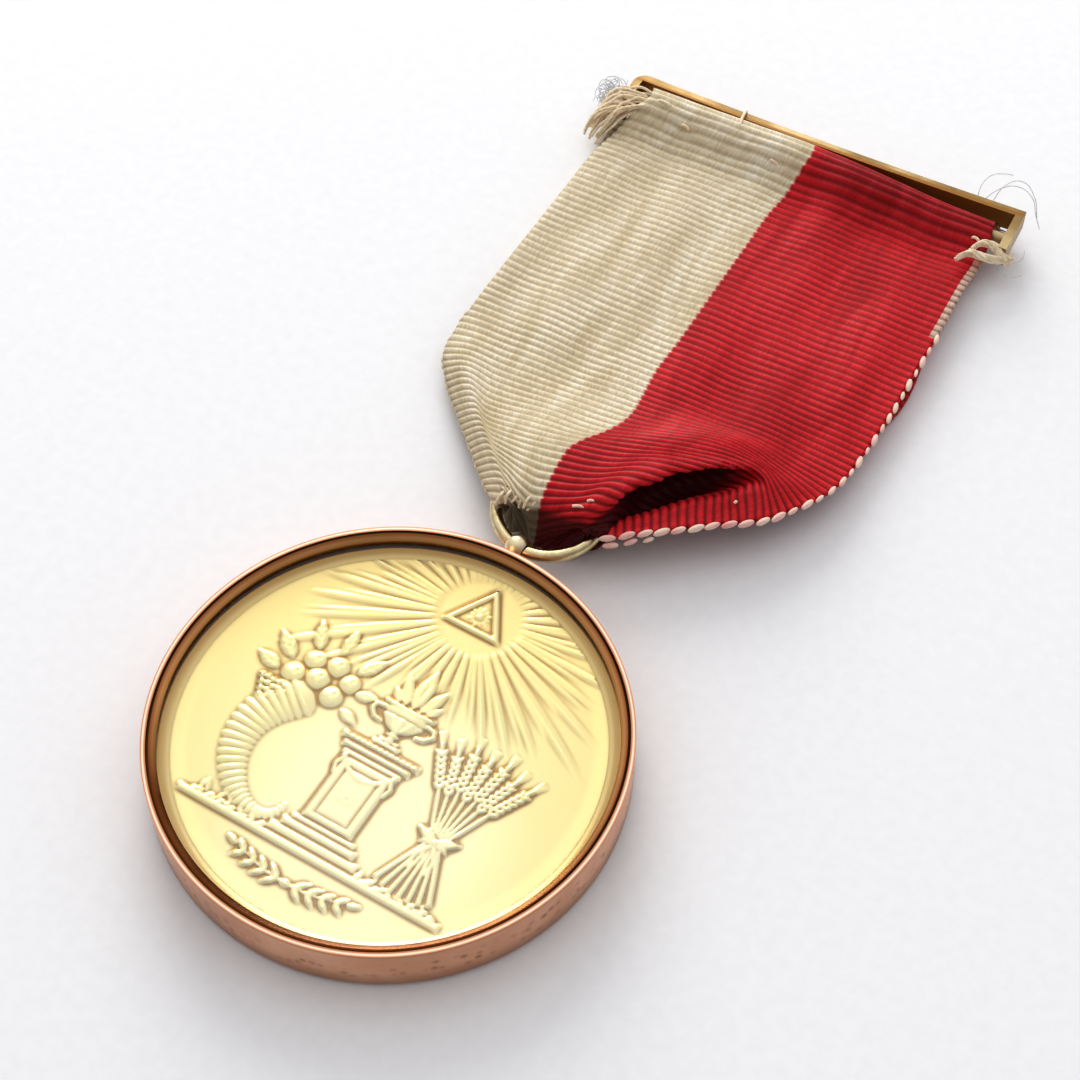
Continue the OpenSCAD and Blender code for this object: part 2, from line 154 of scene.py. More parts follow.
def joinCopies(model, places, name):
    # one mesh with a copy of the model at each place, and the model itself goes
    points = readPoints(model)
    faces = [tuple(p.vertices) for p in model.data.polygons]
    allPoints, allFaces = [], []
    for place in places:
        turned = np.array(place.to_3x3()) @ points.T
        start = len(allPoints) * len(points)
        allPoints.append(turned.T + np.array(place.translation))
        allFaces += [tuple(i + start for i in f) for f in faces]
    mesh = bpy.data.meshes.new(name)
    mesh.from_pydata(np.concatenate(allPoints).tolist(), [], allFaces)
    piece = bpy.data.objects.new(name, mesh)
    bpy.context.scene.collection.objects.link(piece)
    bpy.data.objects.remove(model)
    smoothShade(piece)
    return piece


def threadPiece(name, threads, radius):
    # round threads through lists of points in millimetres, with a point's fourth value, where it has one, as
    # its radius
    curve = bpy.data.curves.new(name, "CURVE")
    curve.dimensions = "3D"
    curve.bevel_depth = radius * mm
    curve.bevel_resolution = 2
    curve.resolution_u = 5
    curve.use_fill_caps = True
    for points in threads:
        line = curve.splines.new("BEZIER")
        line.bezier_points.add(len(points) - 1)
        for knot, point in zip(line.bezier_points, points):
            knot.co = Vector(point[:3]) * mm
            knot.radius = point[3] if len(point) > 3 else 1
            knot.handle_left_type = knot.handle_right_type = "AUTO"
    piece = bpy.data.objects.new(name, curve)
    bpy.context.scene.collection.objects.link(piece)
    makeActive(piece)
    bpy.ops.object.convert(target="MESH")
    piece = lastMade(name)
    smoothShade(piece)
    return piece


def finishPiece(piece, material, slotName, *stoodFor):
    giveMaterial(piece, material)
    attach(piece, "root")
    if stoodFor:
        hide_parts(*stoodFor)
    return piece


def smoothStep(low, high, value):
    share = np.clip((value - low) / (high - low), 0, 1)
    return share * share * (3 - 2 * share)


def throughKnots(knots, values, at):
    # a smooth curve through values at rising knots, with slopes from the neighbours
    knots = np.asarray(knots, float)
    values = np.asarray(values, float)
    slopes = np.gradient(values, knots, axis=0)
    i = np.clip(np.searchsorted(knots, at) - 1, 0, len(knots) - 2)
    step = (knots[i + 1] - knots[i]).reshape(-1, *[1] * (values.ndim - 1))
    t = ((at - knots[i]) / (knots[i + 1] - knots[i])).reshape(step.shape)
    return (values[i] * (2 * t ** 3 - 3 * t ** 2 + 1) + slopes[i] * step * (t ** 3 - 2 * t ** 2 + t)
            + values[i + 1] * (3 * t ** 2 - 2 * t ** 3) + slopes[i + 1] * step * (t ** 3 - t ** 2))


# Camera, floor and light

cameraSizes = {
    "place": (49.68, -70.44, 151.47),
    "looks": (-0.2655, 0.5111, -0.8174),
    "lens": 73.33,
    "sensor": 36,
    "nearest": 5,
    "contrast": 0.85,  # a phone camera's stronger contrast
}
bpy.ops.object.camera_add(location=Vector(cameraSizes["place"]) * mm)
camera = lastMade("camera")
camera.data.lens = cameraSizes["lens"]
camera.data.sensor_width = cameraSizes["sensor"]
camera.data.clip_start = cameraSizes["nearest"] * mm
camera.rotation_mode = "QUATERNION"
camera.rotation_quaternion = Vector(cameraSizes["looks"]).to_track_quat("-Z", "Y")
bpy.context.scene.camera = camera
bpy.context.scene.view_settings.view_transform = "Standard"
bpy.context.scene.view_settings.gamma = cameraSizes["contrast"]

studioSizes = {
    "floorSide": 3000,
    "floorDrop": 0.03,
    "topPlace": (-176, 236, 580),
    "topSide": 90,
    "topPower": 0.04,
    "backPlace": (-330, 500, 260),
    "backSide": 420,
    "backPower": 2.5,
    "aim": (0, 30, 0),
    "skyFrom": (-0.3, 0.55, 0.78),
    "skyTurn": (0.12, 0.8),
    "skyLow": 0.42,
    "skyHigh": 1.08,
}
deselectAll()
bpy.ops.mesh.primitive_plane_add(
    size=studioSizes["floorSide"] * mm, location=(0, 0, -studioSizes["floorDrop"] * mm))
floor = lastMade("floor")


def paperFloor():
    # matt white paper sweep: an even pale diffuse surface
    material = newMaterial("paperFloor")
    place = addNode(material, "TexCoord")
    grain = addNode(material, "TexNoise", {"Scale": 900, "Detail": 2},
                    {"Vector": place.outputs["Object"]})
    tone = addNode(material, "ValToRGB", None, {"Fac": grain.outputs["Fac"]},
                   [(0.3, "#F4F4F5"), (0.7, "#F7F7F8")])
    shader = addNode(material, "BsdfPrincipled", {"Roughness": 0.9, "Specular IOR Level": 0.2},
                     {"Base Color": tone.outputs["Color"]})
    return closeMaterial(material, shader)


giveMaterial(floor, paperFloor())


def softLight(name, place, side, power, colour):
    bpy.ops.object.light_add(type="AREA", location=Vector(place) * mm)
    light = bpy.context.object
    light.name = name
    light.data.shape = "DISK"
    light.data.size = side * mm
    light.data.energy = power
    light.data.color = hexColour(colour)[:3]
    light.rotation_mode = "QUATERNION"
    towards = Vector(studioSizes["aim"]) - Vector(place)
    light.rotation_quaternion = towards.to_track_quat("-Z", "Y")


softLight("topBox", studioSizes["topPlace"], studioSizes["topSide"], studioSizes["topPower"], "#FFFDF8")
softLight("backBox", studioSizes["backPlace"], studioSizes["backSide"], studioSizes["backPower"], "#FFFDFA")


def studioSky():
    # pale walls all round, brighter above and behind where the window is
    sizes = studioSizes
    sky = bpy.data.worlds.new("studioSky")
    sky.use_nodes = True
    sky.node_tree.nodes.clear()
    way = addNode(sky, "TexCoord")
    facing = addNode(sky, "VectorMath", {"operation": "DOT_PRODUCT", 1: sizes["skyFrom"]},
                     {0: way.outputs["Generated"]})
    power = addNode(sky, "MapRange",
                    {"From Min": sizes["skyTurn"][0], "From Max": sizes["skyTurn"][1],
                     "To Min": sizes["skyLow"], "To Max": sizes["skyHigh"]},
                    {"Value": facing.outputs["Value"]})
    shader = addNode(sky, "Background", {"Color": hexColour("#FAFAFC")}, {"Strength": power.outputs[0]})
    addNode(sky, "OutputWorld", links={"Surface": shader.outputs[0]})
    return sky


bpy.context.scene.world = studioSky()
print("camera, floor and lights are set")


# Ribbon: one strip, from the hem behind the rod, over the rod, down the front leaf with its
# pleat, through the ring and back up behind

ribbonSizes = {
    "width": 38,
    "ribPitch": 0.76,
    "ribHeight": 0.085,
    "rowsPerRib": 5,
    "cloth": 0.42,
    "topY": 73.35,
    "looseTurn": (72.25, 2.65, 1.85),
    "tightTurn": (72.145, 2.55, 1.15),
    "turnStart": -4.7,
    "turnEnd": 1.1,
    "boundary": 0.478,
    "hemStart": -11.0,
    "frontStart": -5.0,
    "frontEnd": 57.0,
    "backEnd": 106.0,
    "backRow": 0.76,
    "easing": 0.4,
    "waves": [(0.10, 0.55, 0.13, 0.0), (0.07, 0.9, -0.21, 1.0)],  # height, turns per mm and start
    "gathers": 0.04,
    "dimples": [(-8.3, 70.6), (1.0, 70.4)],
    "dimpleDepth": 0.35,
    "tooth": 0.2,
    "wornWidth": 0.7,
    "wornFrom": (3.0, 5.5),
    "wornTo": 15.0,
}
# Edges of the straight part: distance along, left x, right x, height
straightRows = [
    (-11.0, -13.2, 22.2, 0.75),
    (-4.7, -12.9, 22.2, 0.80),
    (1.1, -12.6, 22.3, 4.50),
    (2.2, -13.2, 22.5, 4.05),
    (3.5, -13.9, 22.6, 2.95),
    (4.9, -14.3, 22.6, 2.35),
    (7.5, -14.9, 22.5, 2.30),
    (13.0, -15.3, 22.4, 2.30),
    (20.0, -15.6, 22.1, 2.30),
    (26.0, -15.9, 21.9, 2.30),
]
# Curves down the cloth, with their place across the straight part. Each row is the distance
# along the cloth, then x, y and z, so that the ribs follow the folds.
clothCurves = {
    "leftSelvedge": (0.0, [
        (30, -16.1, 43.4, 2.2), (33.4, -16.15, 40.0, 2.0), (36, -15.95, 37.4, 1.7),
        (39.4, -14.1, 34.5, 1.5), (43.5, -11.4, 31.5, 1.7), (47.6, -8.5, 28.5, 2.3),
        (50.7, -6.3, 26.1, 3.0), (53.0, -4.5, 24.3, 3.6), (54.6, -2.9, 23.1, 3.8)]),
    "crease": (0.045, [
        (30, -14.4, 43.4, 2.3), (33.4, -14.4, 40.0, 2.35), (36, -14.15, 37.5, 2.5),
        (38, -13.4, 35.8, 2.7), (41.4, -11.3, 33.1, 3.0), (44.4, -9.35, 30.8, 3.4),
        (47.5, -7.3, 28.5, 3.9), (50.4, -5.1, 26.2, 4.4), (52.6, -3.4, 24.4, 4.7),
        (53.8, -2.6, 23.5, 4.4)]),
    "leftOuter": (0.16, [
        (30, -10.05, 43.4, 2.35), (33.4, -10.0, 40.05, 2.4), (36, -9.95, 37.4, 2.6),
        (38, -9.7, 35.5, 2.85), (40, -9.2, 33.6, 3.15), (43, -8.0, 31.1, 3.65),
        (46, -6.3, 28.9, 4.3), (49, -4.4, 26.7, 4.8), (51.6, -2.7, 24.5, 5.0),
        (52.8, -2.1, 23.6, 4.6)]),
    "leftInner": (0.32, [
        (30, -4.0, 43.4, 2.4), (33.4, -3.95, 40.1, 2.6), (36, -3.8, 37.6, 3.0),
        (38, -3.7, 35.6, 3.5), (40, -3.7, 33.7, 4.05), (42.5, -3.5, 31.2, 4.8),
        (45, -2.9, 28.9, 5.3), (47.5, -2.0, 26.5, 5.5), (49.8, -1.4, 24.5, 5.2),
        (50.8, -1.3, 23.9, 4.6)]),
    "boundary": (0.478, [
        (30, 1.95, 43.45, 2.5), (33.4, 2.25, 40.15, 2.9), (36, 2.5, 37.7, 3.5),
        (38, 2.3, 35.7, 4.1), (40, 1.6, 33.7, 4.7), (42.3, 0.6, 31.7, 5.3),
        (43.8, 0.1, 30.3, 5.6), (45.5, 0.05, 28.6, 5.7), (47.1, 0.15, 27.0, 5.7),
        (48.9, 0.3, 25.2, 5.4), (50.0, 0.45, 24.2, 4.9)]),
    "ridge": (0.593, [
        (30, 6.3, 43.5, 2.5), (33.4, 6.6, 40.35, 3.0), (36, 6.8, 38.1, 3.9),
        (38, 6.3, 36.4, 4.6), (40, 5.4, 34.7, 5.2), (43.8, 4.4, 31.2, 5.8),
        (46, 4.0, 29.1, 6.0), (48, 3.7, 27.2, 6.0), (50, 3.4, 25.3, 5.7),
        (51.3, 3.2, 24.2, 5.0)]),
    "rightSelvedge": (1.0, [
        (30, 21.6, 43.4, 2.3), (33.4, 21.2, 40.0, 2.6), (36, 20.5, 37.6, 2.9),
        (39.3, 18.9, 34.8, 3.3), (42.4, 17.0, 32.2, 3.7), (46.2, 14.2, 30.05, 4.0),
        (49.8, 11.4, 27.9, 4.2), (53.5, 8.4, 25.7, 4.3), (56.3, 6.2, 24.4, 4.2)]),
}
# The pleat between the ridge and the right selvedge, in sections along the ribs: distance along,
# then place across, x, y and z. From the seventh section on it goes over the lip of the fold,
# back under it, along the pocket's floor and out over the edge of the flap.
pleatSections = [
    (30.0, [(0.80, 14.1, 43.5, 2.5)]),
    (33.4, [(0.80, 14.3, 40.5, 3.0)]),
    (36.0, [(0.72, 11.6, 38.7, 4.2), (0.86, 16.5, 38.4, 3.4)]),
    (38.0, [(0.72, 10.9, 37.4, 4.9), (0.80, 13.6, 37.6, 4.4), (0.88, 16.4, 37.1, 3.9)]),
    (39.8, [(0.70, 9.6, 35.9, 5.4), (0.78, 12.6, 36.6, 5.0), (0.85, 15.1, 36.7, 4.4),
            (0.93, 17.2, 35.4, 3.9)]),
    (41.2, [(0.70, 9.2, 34.7, 5.6), (0.78, 12.2, 35.6, 5.3), (0.84, 14.4, 35.9, 4.8),
            (0.88, 15.5, 35.8, 4.3), (0.94, 16.8, 34.4, 4.0)]),
    (42.6, [(0.69, 8.3, 33.6, 5.8), (0.75, 10.6, 34.2, 5.8), (0.805, 12.9, 34.7, 5.5),
            (0.83, 12.9, 35.2, 4.6), (0.855, 12.7, 35.7, 4.0), (0.88, 13.6, 36.0, 3.3),
            (0.90, 14.9, 35.6, 3.9), (0.915, 15.2, 35.1, 4.15), (0.96, 16.2, 33.5, 4.0)]),
    (44.2, [(0.66, 6.7, 32.0, 6.0), (0.73, 9.2, 32.6, 6.1), (0.772, 10.9, 33.15, 5.7),
            (0.80, 10.4, 33.8, 4.8), (0.835, 9.9, 34.8, 4.0), (0.865, 10.7, 35.2, 2.2),
            (0.89, 12.8, 35.0, 2.4), (0.905, 14.0, 34.5, 3.8), (0.917, 14.2, 33.9, 4.2),
            (0.96, 15.0, 32.4, 4.15)]),
    (46.5, [(0.64, 5.6, 29.6, 6.2), (0.69, 7.4, 30.0, 6.3), (0.721, 8.5, 30.4, 5.9),
            (0.75, 7.9, 31.2, 4.9), (0.79, 7.3, 32.4, 4.0), (0.84, 8.0, 33.6, 1.5),
            (0.885, 10.9, 33.3, 1.7), (0.908, 12.4, 33.1, 3.6), (0.92, 12.75, 32.5, 4.2),
            (0.96, 13.35, 31.2, 4.2)]),
    (48.8, [(0.62, 4.4, 27.0, 6.2), (0.65, 5.5, 27.15, 6.3), (0.68, 6.5, 27.4, 5.9), (0.70, 6.0, 28.1, 4.9),
            (0.75, 5.7, 29.9, 4.1), (0.81, 6.6, 31.3, 1.5), (0.87, 9.4, 31.4, 1.6), (0.905, 10.6, 31.6, 3.5),
            (0.92, 11.0, 31.0, 4.2), (0.96, 11.55, 29.8, 4.3)]),
    (50.6, [(0.625, 4.2, 24.9, 6.0), (0.65, 5.3, 25.3, 5.6), (0.68, 5.6, 26.2, 4.9), (0.73, 6.1, 27.7, 4.2),
            (0.79, 6.9, 29.1, 1.8), (0.86, 8.4, 29.9, 1.6), (0.905, 9.3, 30.1, 3.5), (0.922, 9.7, 29.5, 4.2),
            (0.96, 10.2, 28.5, 4.3)]),
    (52.6, [(0.73, 5.9, 25.2, 4.3), (0.80, 6.6, 26.9, 3.0), (0.86, 7.2, 28.0, 2.2), (0.91, 7.9, 28.5, 3.5),
            (0.93, 8.3, 27.9, 4.25), (0.965, 8.75, 27.1, 4.35)]),
    (54.6, [(0.78, 6.0, 24.9, 4.2), (0.86, 6.4, 26.1, 3.5), (0.92, 6.7, 26.9, 3.7), (0.94, 6.9, 26.4, 4.2),
            (0.97, 7.2, 25.8, 4.3)]),
]
# The strip's last place before it turns down through the ring
pleatEnds = [
    (0.593, 51.3, 3.2, 24.2, 5.0), (0.65, 51.6, 4.4, 24.4, 5.1), (0.70, 52.0, 5.1, 24.5, 4.7),
    (0.75, 53.0, 5.6, 24.6, 4.4), (0.80, 54.4, 5.9, 24.6, 4.2), (0.86, 55.6, 6.1, 24.7, 4.2),
    (0.93, 56.2, 6.2, 24.6, 4.3), (1.0, 56.3, 6.2, 24.3, 4.2),
]
# Where the painted shade in the pocket of the pleat begins and ends across the cloth, for distances along it
pocketShadeEdges = [(42.0, 0.83, 0.88), (44.2, 0.79, 0.905), (46.5, 0.74, 0.91), (48.8, 0.695, 0.91),
               (50.6, 0.665, 0.915), (52.6, 0.66, 0.925), (57.0, 0.65, 0.95)]
# Columns of cloth between one curve and the next, and over the pleat
columnCounts = [3, 6, 8, 9, 8]
pleatColumns = 46
# The gathered bundle inside the ring, and the back leaf behind it
bundleSizes = {
    "middleX": 0.8,
    "spread": 6.8,
    "bend": 1.5,
    "pleatDepth": 0.22,
    "pleats": 3,
    "length": 5.6,
    "leafLeft": -15.6,
    "leafWide": 37.4,
    "leafLow": 24.6,
    "leafRun": 47.6,
    "leafZ": 0.58,
}


def curveAt(name, along):
    # a named curve's place across the cloth, and its point at a distance along it
    place, lower = clothCurves[name]
    rows = np.array(lower)
    return (place, *throughKnots(rows[:, 0], rows[:, 1:], np.array([along]))[0])


def pleatCurve(place):
    # one curve down the pleat: through its sections, to its end beside the ring
    ends = np.array(pleatEnds)
    end = [np.interp(place, ends[:, 0], ends[:, i]) for i in range(1, 5)]
    boundaryEnd = clothCurves["boundary"][1][-1][0]
    rows = []
    for along, section in pleatSections:
        # the lowest sections are narrow, and a curve that has ended has no part in them
        if along > end[0] - 0.9 or place < section[0][0] and along > 52:
            continue
        knots = list(section) + [curveAt("rightSelvedge", along)]
        if along < 51:
            knots = [curveAt("boundary", min(along, boundaryEnd)), curveAt("ridge", along)] + knots
        knots = np.array(knots)
        rows.append((along, *throughKnots(knots[:, 0], knots[:, 1:], np.array([place]))[0]))
    return rows + [tuple(end)]


def wholeCurve(place, lower):
    # one curve of the strip from its hem to its end: rows of distance, x, y and z
    sizes = ribbonSizes
    rows = []
    # the turn is loose round the rod, and tight at the right end
    tight = float(smoothStep(0.45, 1.0, place))
    square = 0.62 + 0.38 * tight
    turnY, turnZ, turnR = (a + (b - a) * tight for a, b in zip(sizes["looseTurn"], sizes["tightTurn"]))
    start, end = sizes["turnStart"], sizes["turnEnd"]
    for along, left, right, height in straightRows:
        x = left + place * (right - left)
        if along < start:
            rows.append((along, x, turnY - (start - along), height))
        elif along == start:
            for turn in (0, 45, 90, 135):
                a = math.radians(turn)
                out = math.sin(a) ** square
                down = math.copysign(abs(math.cos(a)) ** square, math.cos(a))
                far = start + (end - start) * turn / 180
                rows.append((far, x, turnY + turnR * out, turnZ - turnR * down))
        elif along == end:
            rows.append((along, x, turnY, turnZ + turnR))
        else:
            drop = 0.75 * tight * (1 - smoothStep(3, 8, along))
            rows.append((along, x, sizes["topY"] - along, height - drop))
    rows += lower
    # the bundle bends down through the ring, its edges further back than its middle
    bundle = bundleSizes
    last, endX, endY = lower[-1][:3]
    middle = bundle["middleX"]
    gather = (place - 0.5) * bundle["spread"]
    behind = bundle["bend"] * (2 * place - 1) ** 2
    behind += bundle["pleatDepth"] * math.cos(place * 2 * math.pi * bundle["pleats"])
    over = 3.3 + 0.75 * float(smoothStep(0.6, 0.8, place))
    leafStart = last + bundle["length"]
    rows += [
        (last + 1.2, middle + 0.5 * (gather + endX - middle), 0.4 * endY + 0.6 * (23.4 + behind), over),
        (last + 2.7, middle + gather, 23.2 + behind, 1.95),
        (last + 4.1, middle + 1.15 * gather, 22.9 + behind, 0.95),
        (leafStart, middle + 1.3 * gather, 24.0 + 0.6 * behind, 0.66),
    ]
    # the back leaf lies on the table and widens towards the rod
    flat = bundle["leafLeft"] + place * bundle["leafWide"]
    for share, wide in ((0.10, 0.14), (0.22, 0.40), (0.36, 0.80), (0.50, 1.0), (0.75, 1.0), (1.0, 0.99)):
        along = leafStart + share * (sizes["backEnd"] - leafStart)
        x = middle + gather + wide * (flat - middle - gather)
        rows.append((along, x, bundle["leafLow"] + share * bundle["leafRun"], bundle["leafZ"]))
    return np.array(rows)


def clothRows():
    sizes = ribbonSizes
    fine = sizes["ribPitch"] / sizes["rowsPerRib"]
    front = np.arange(sizes["frontStart"], sizes["frontEnd"], fine)
    hem = np.arange(sizes["hemStart"], sizes["frontStart"], sizes["backRow"])
    back = np.arange(front[-1] + fine, sizes["backEnd"], sizes["backRow"])
    return np.concatenate([hem, front, back])


def clothColumns(places):
    columns = [0.0]
    for first, second, count in zip(places, places[1:], columnCounts):
        columns += [first + (second - first) * (i + 1) / count for i in range(count)]
    pleated = 1 - columns[-1]
    columns += [columns[-1] + pleated * (i + 1) / pleatColumns for i in range(pleatColumns)]
    return np.array(columns)


def leafCurves():
    # the named curves left of the pleat, each with its place across the cloth
    return list(clothCurves.values())[:-1]


def layCloth(columns, rows):
    # the strip as columns and rows of points: smooth between the named curves, then the pleat
    # column by column
    places = [place for place, lower in leafCurves()]
    smooth = sum(columnCounts) + 1
    beyond = columns[smooth + 3]
    lines = []
    for place, lower in leafCurves() + [(beyond, pleatCurve(beyond))]:
        whole = wholeCurve(place, lower)
        lines.append(throughKnots(whole[:, 0], whole[:, 1:], rows))
    surface = list(throughKnots(places + [beyond], lines, columns[:smooth]))
    for place in columns[smooth:]:
        whole = wholeCurve(place, pleatCurve(place) if place < 1 else clothCurves["rightSelvedge"][1])
        surface.append(throughKnots(whole[:, 0], whole[:, 1:], rows))
    surface = np.array(surface)  # column, row, xyz
    # the pleat is eased from column to column
    easing = ribbonSizes["easing"]
    for again in range(2):
        pleat = surface[smooth - 4:-1]
        beside = (surface[smooth - 5:-2] + surface[smooth - 3:]) / 2
        surface[smooth - 4:-1] = pleat * (1 - easing) + beside * easing
    return surface


def measureAcross(surface, columns):
    # true distance across the cloth, pinned at the selvedges and at the colour change
    boundary = ribbonSizes["boundary"]
    steps = np.linalg.norm(np.diff(surface, axis=0), axis=2)
    run = np.concatenate([np.zeros((1, surface.shape[1])), np.cumsum(steps, axis=0)])
    change = int(np.argmin(abs(columns - boundary)))
    right = (run - run[change]) / (run[-1] - run[change])
    across = np.where(np.arange(len(columns))[:, None] <= change,
                      run / run[change] * boundary, boundary + right * (1 - boundary))
    return across * ribbonSizes["width"]


def looseFolds(surface, across, along):
    # how far loose folds, gathers under the rod and two stitch dimples lift the cloth
    sizes = ribbonSizes
    top = 1 - smoothStep(3, 11, along)
    flat = smoothStep(-1, 3, along) * (1 - smoothStep(30, 40, along))
    lift = np.zeros_like(along)
    for height, acrossTurn, alongTurn, start in sizes["waves"]:
        lift += height * np.sin(across * acrossTurn + along * alongTurn + start) * flat
    gathers = sizes["gathers"] * np.sin(along * 3.3 + np.sin(across * 0.5) * 1.4)
    lift += gathers * top * smoothStep(0, 1.5, along)
    for x, y in sizes["dimples"]:
        away = (surface[..., 0] - x) ** 2 + (surface[..., 1] - y) ** 2
        lift -= sizes["dimpleDepth"] * np.exp(-away / 0.45) * (along > 0) * (along < 10)
    return lift


def paintedShadeShare(columns, along):
    # how much painted shade a place gets: where it lies in the pocket, or in the bundle inside the ring
    edges = np.array(pocketShadeEdges)
    share = np.broadcast_to(columns[:, None], along.shape)
    first, last = (np.interp(along, edges[:, 0], edges[:, i]) for i in (1, 2))
    pocket = (smoothStep(0, 0.035, share - first) * smoothStep(0, 0.03, last - share)
              * smoothStep(41.6, 43.2, along) * (along < ribbonSizes["frontEnd"]))
    turns = [(place, lower[-1][0]) for place, lower in leafCurves()] + [row[:2] for row in pleatEnds[1:]]
    turned = along - np.interp(share, [row[0] for row in turns], [row[1] for row in turns])
    bundle = smoothStep(-0.5, 0.5, turned) * (1 - smoothStep(12, 20, turned))
    # and painted shade on the crimson half just under the rail
    shaded = 0.42 * (1 - smoothStep(0.8, 5.5, along)) * smoothStep(0.48, 0.56, share)
    return np.maximum(np.maximum(pocket, bundle), shaded)


def raiseRibs(surface, across, along):
    # ribs stand along the cloth's normal, highest near the ring and just under the rod
    sizes = ribbonSizes
    normal = np.cross(np.gradient(surface, axis=1), np.gradient(surface, axis=0))
    normal /= np.maximum(np.linalg.norm(normal, axis=2, keepdims=True), 1e-9)
    ribs = np.cos(along / sizes["ribPitch"] * 2 * math.pi + 0.25 * np.sin(across * 0.8 + along * 0.6))
    shown = smoothStep(-8, -4, along) * (1 - smoothStep(57, 60, along))
    sharp = 0.55 + 0.45 * smoothStep(20, 38, along) + 0.35 * (1 - smoothStep(5, 12, along))
    return surface + normal * (ribs * sizes["ribHeight"] * shown * sharp)[..., None]


def makeRibbon():
    sizes = ribbonSizes
    rows = clothRows()
    columns = clothColumns([place for place, lower in leafCurves()])
    surface = layCloth(columns, rows)
    across = measureAcross(surface, columns)
    along = np.repeat(rows[None, :], len(columns), axis=0)
    surface[..., 2] += looseFolds(surface, across, along)
    # painted shade for the pocket, the bundle inside the ring and the crimson half under the rail
    paintedShade = paintedShadeShare(columns, along)
    surface = raiseRibs(surface, across, along)
    deselectAll()
    bpy.ops.mesh.primitive_grid_add(
        x_subdivisions=len(columns) - 1, y_subdivisions=len(rows) - 1, size=2)
    ribbon = lastMade("ribbon_strip")
    shares = readPoints(ribbon)
    i = np.rint((shares[:, 0] + 1) / 2 * (len(columns) - 1)).astype(int)
    j = np.rint((1 - shares[:, 1]) / 2 * (len(rows) - 1)).astype(int)
    writePoints(ribbon, surface[i, j] * mm)
    setAttribute(ribbon, "clothAcross", across[i, j])
    setAttribute(ribbon, "clothAlong", along[i, j])
    setAttribute(ribbon, "clothPaintedShade", paintedShade[i, j])
    wall = ribbon.modifiers.new("wall", "SOLIDIFY")
    wall.thickness = sizes["cloth"] * mm
    wall.offset = -1
    applyModifiers(ribbon)
    smoothShade(ribbon)
    return ribbon, surface, rows


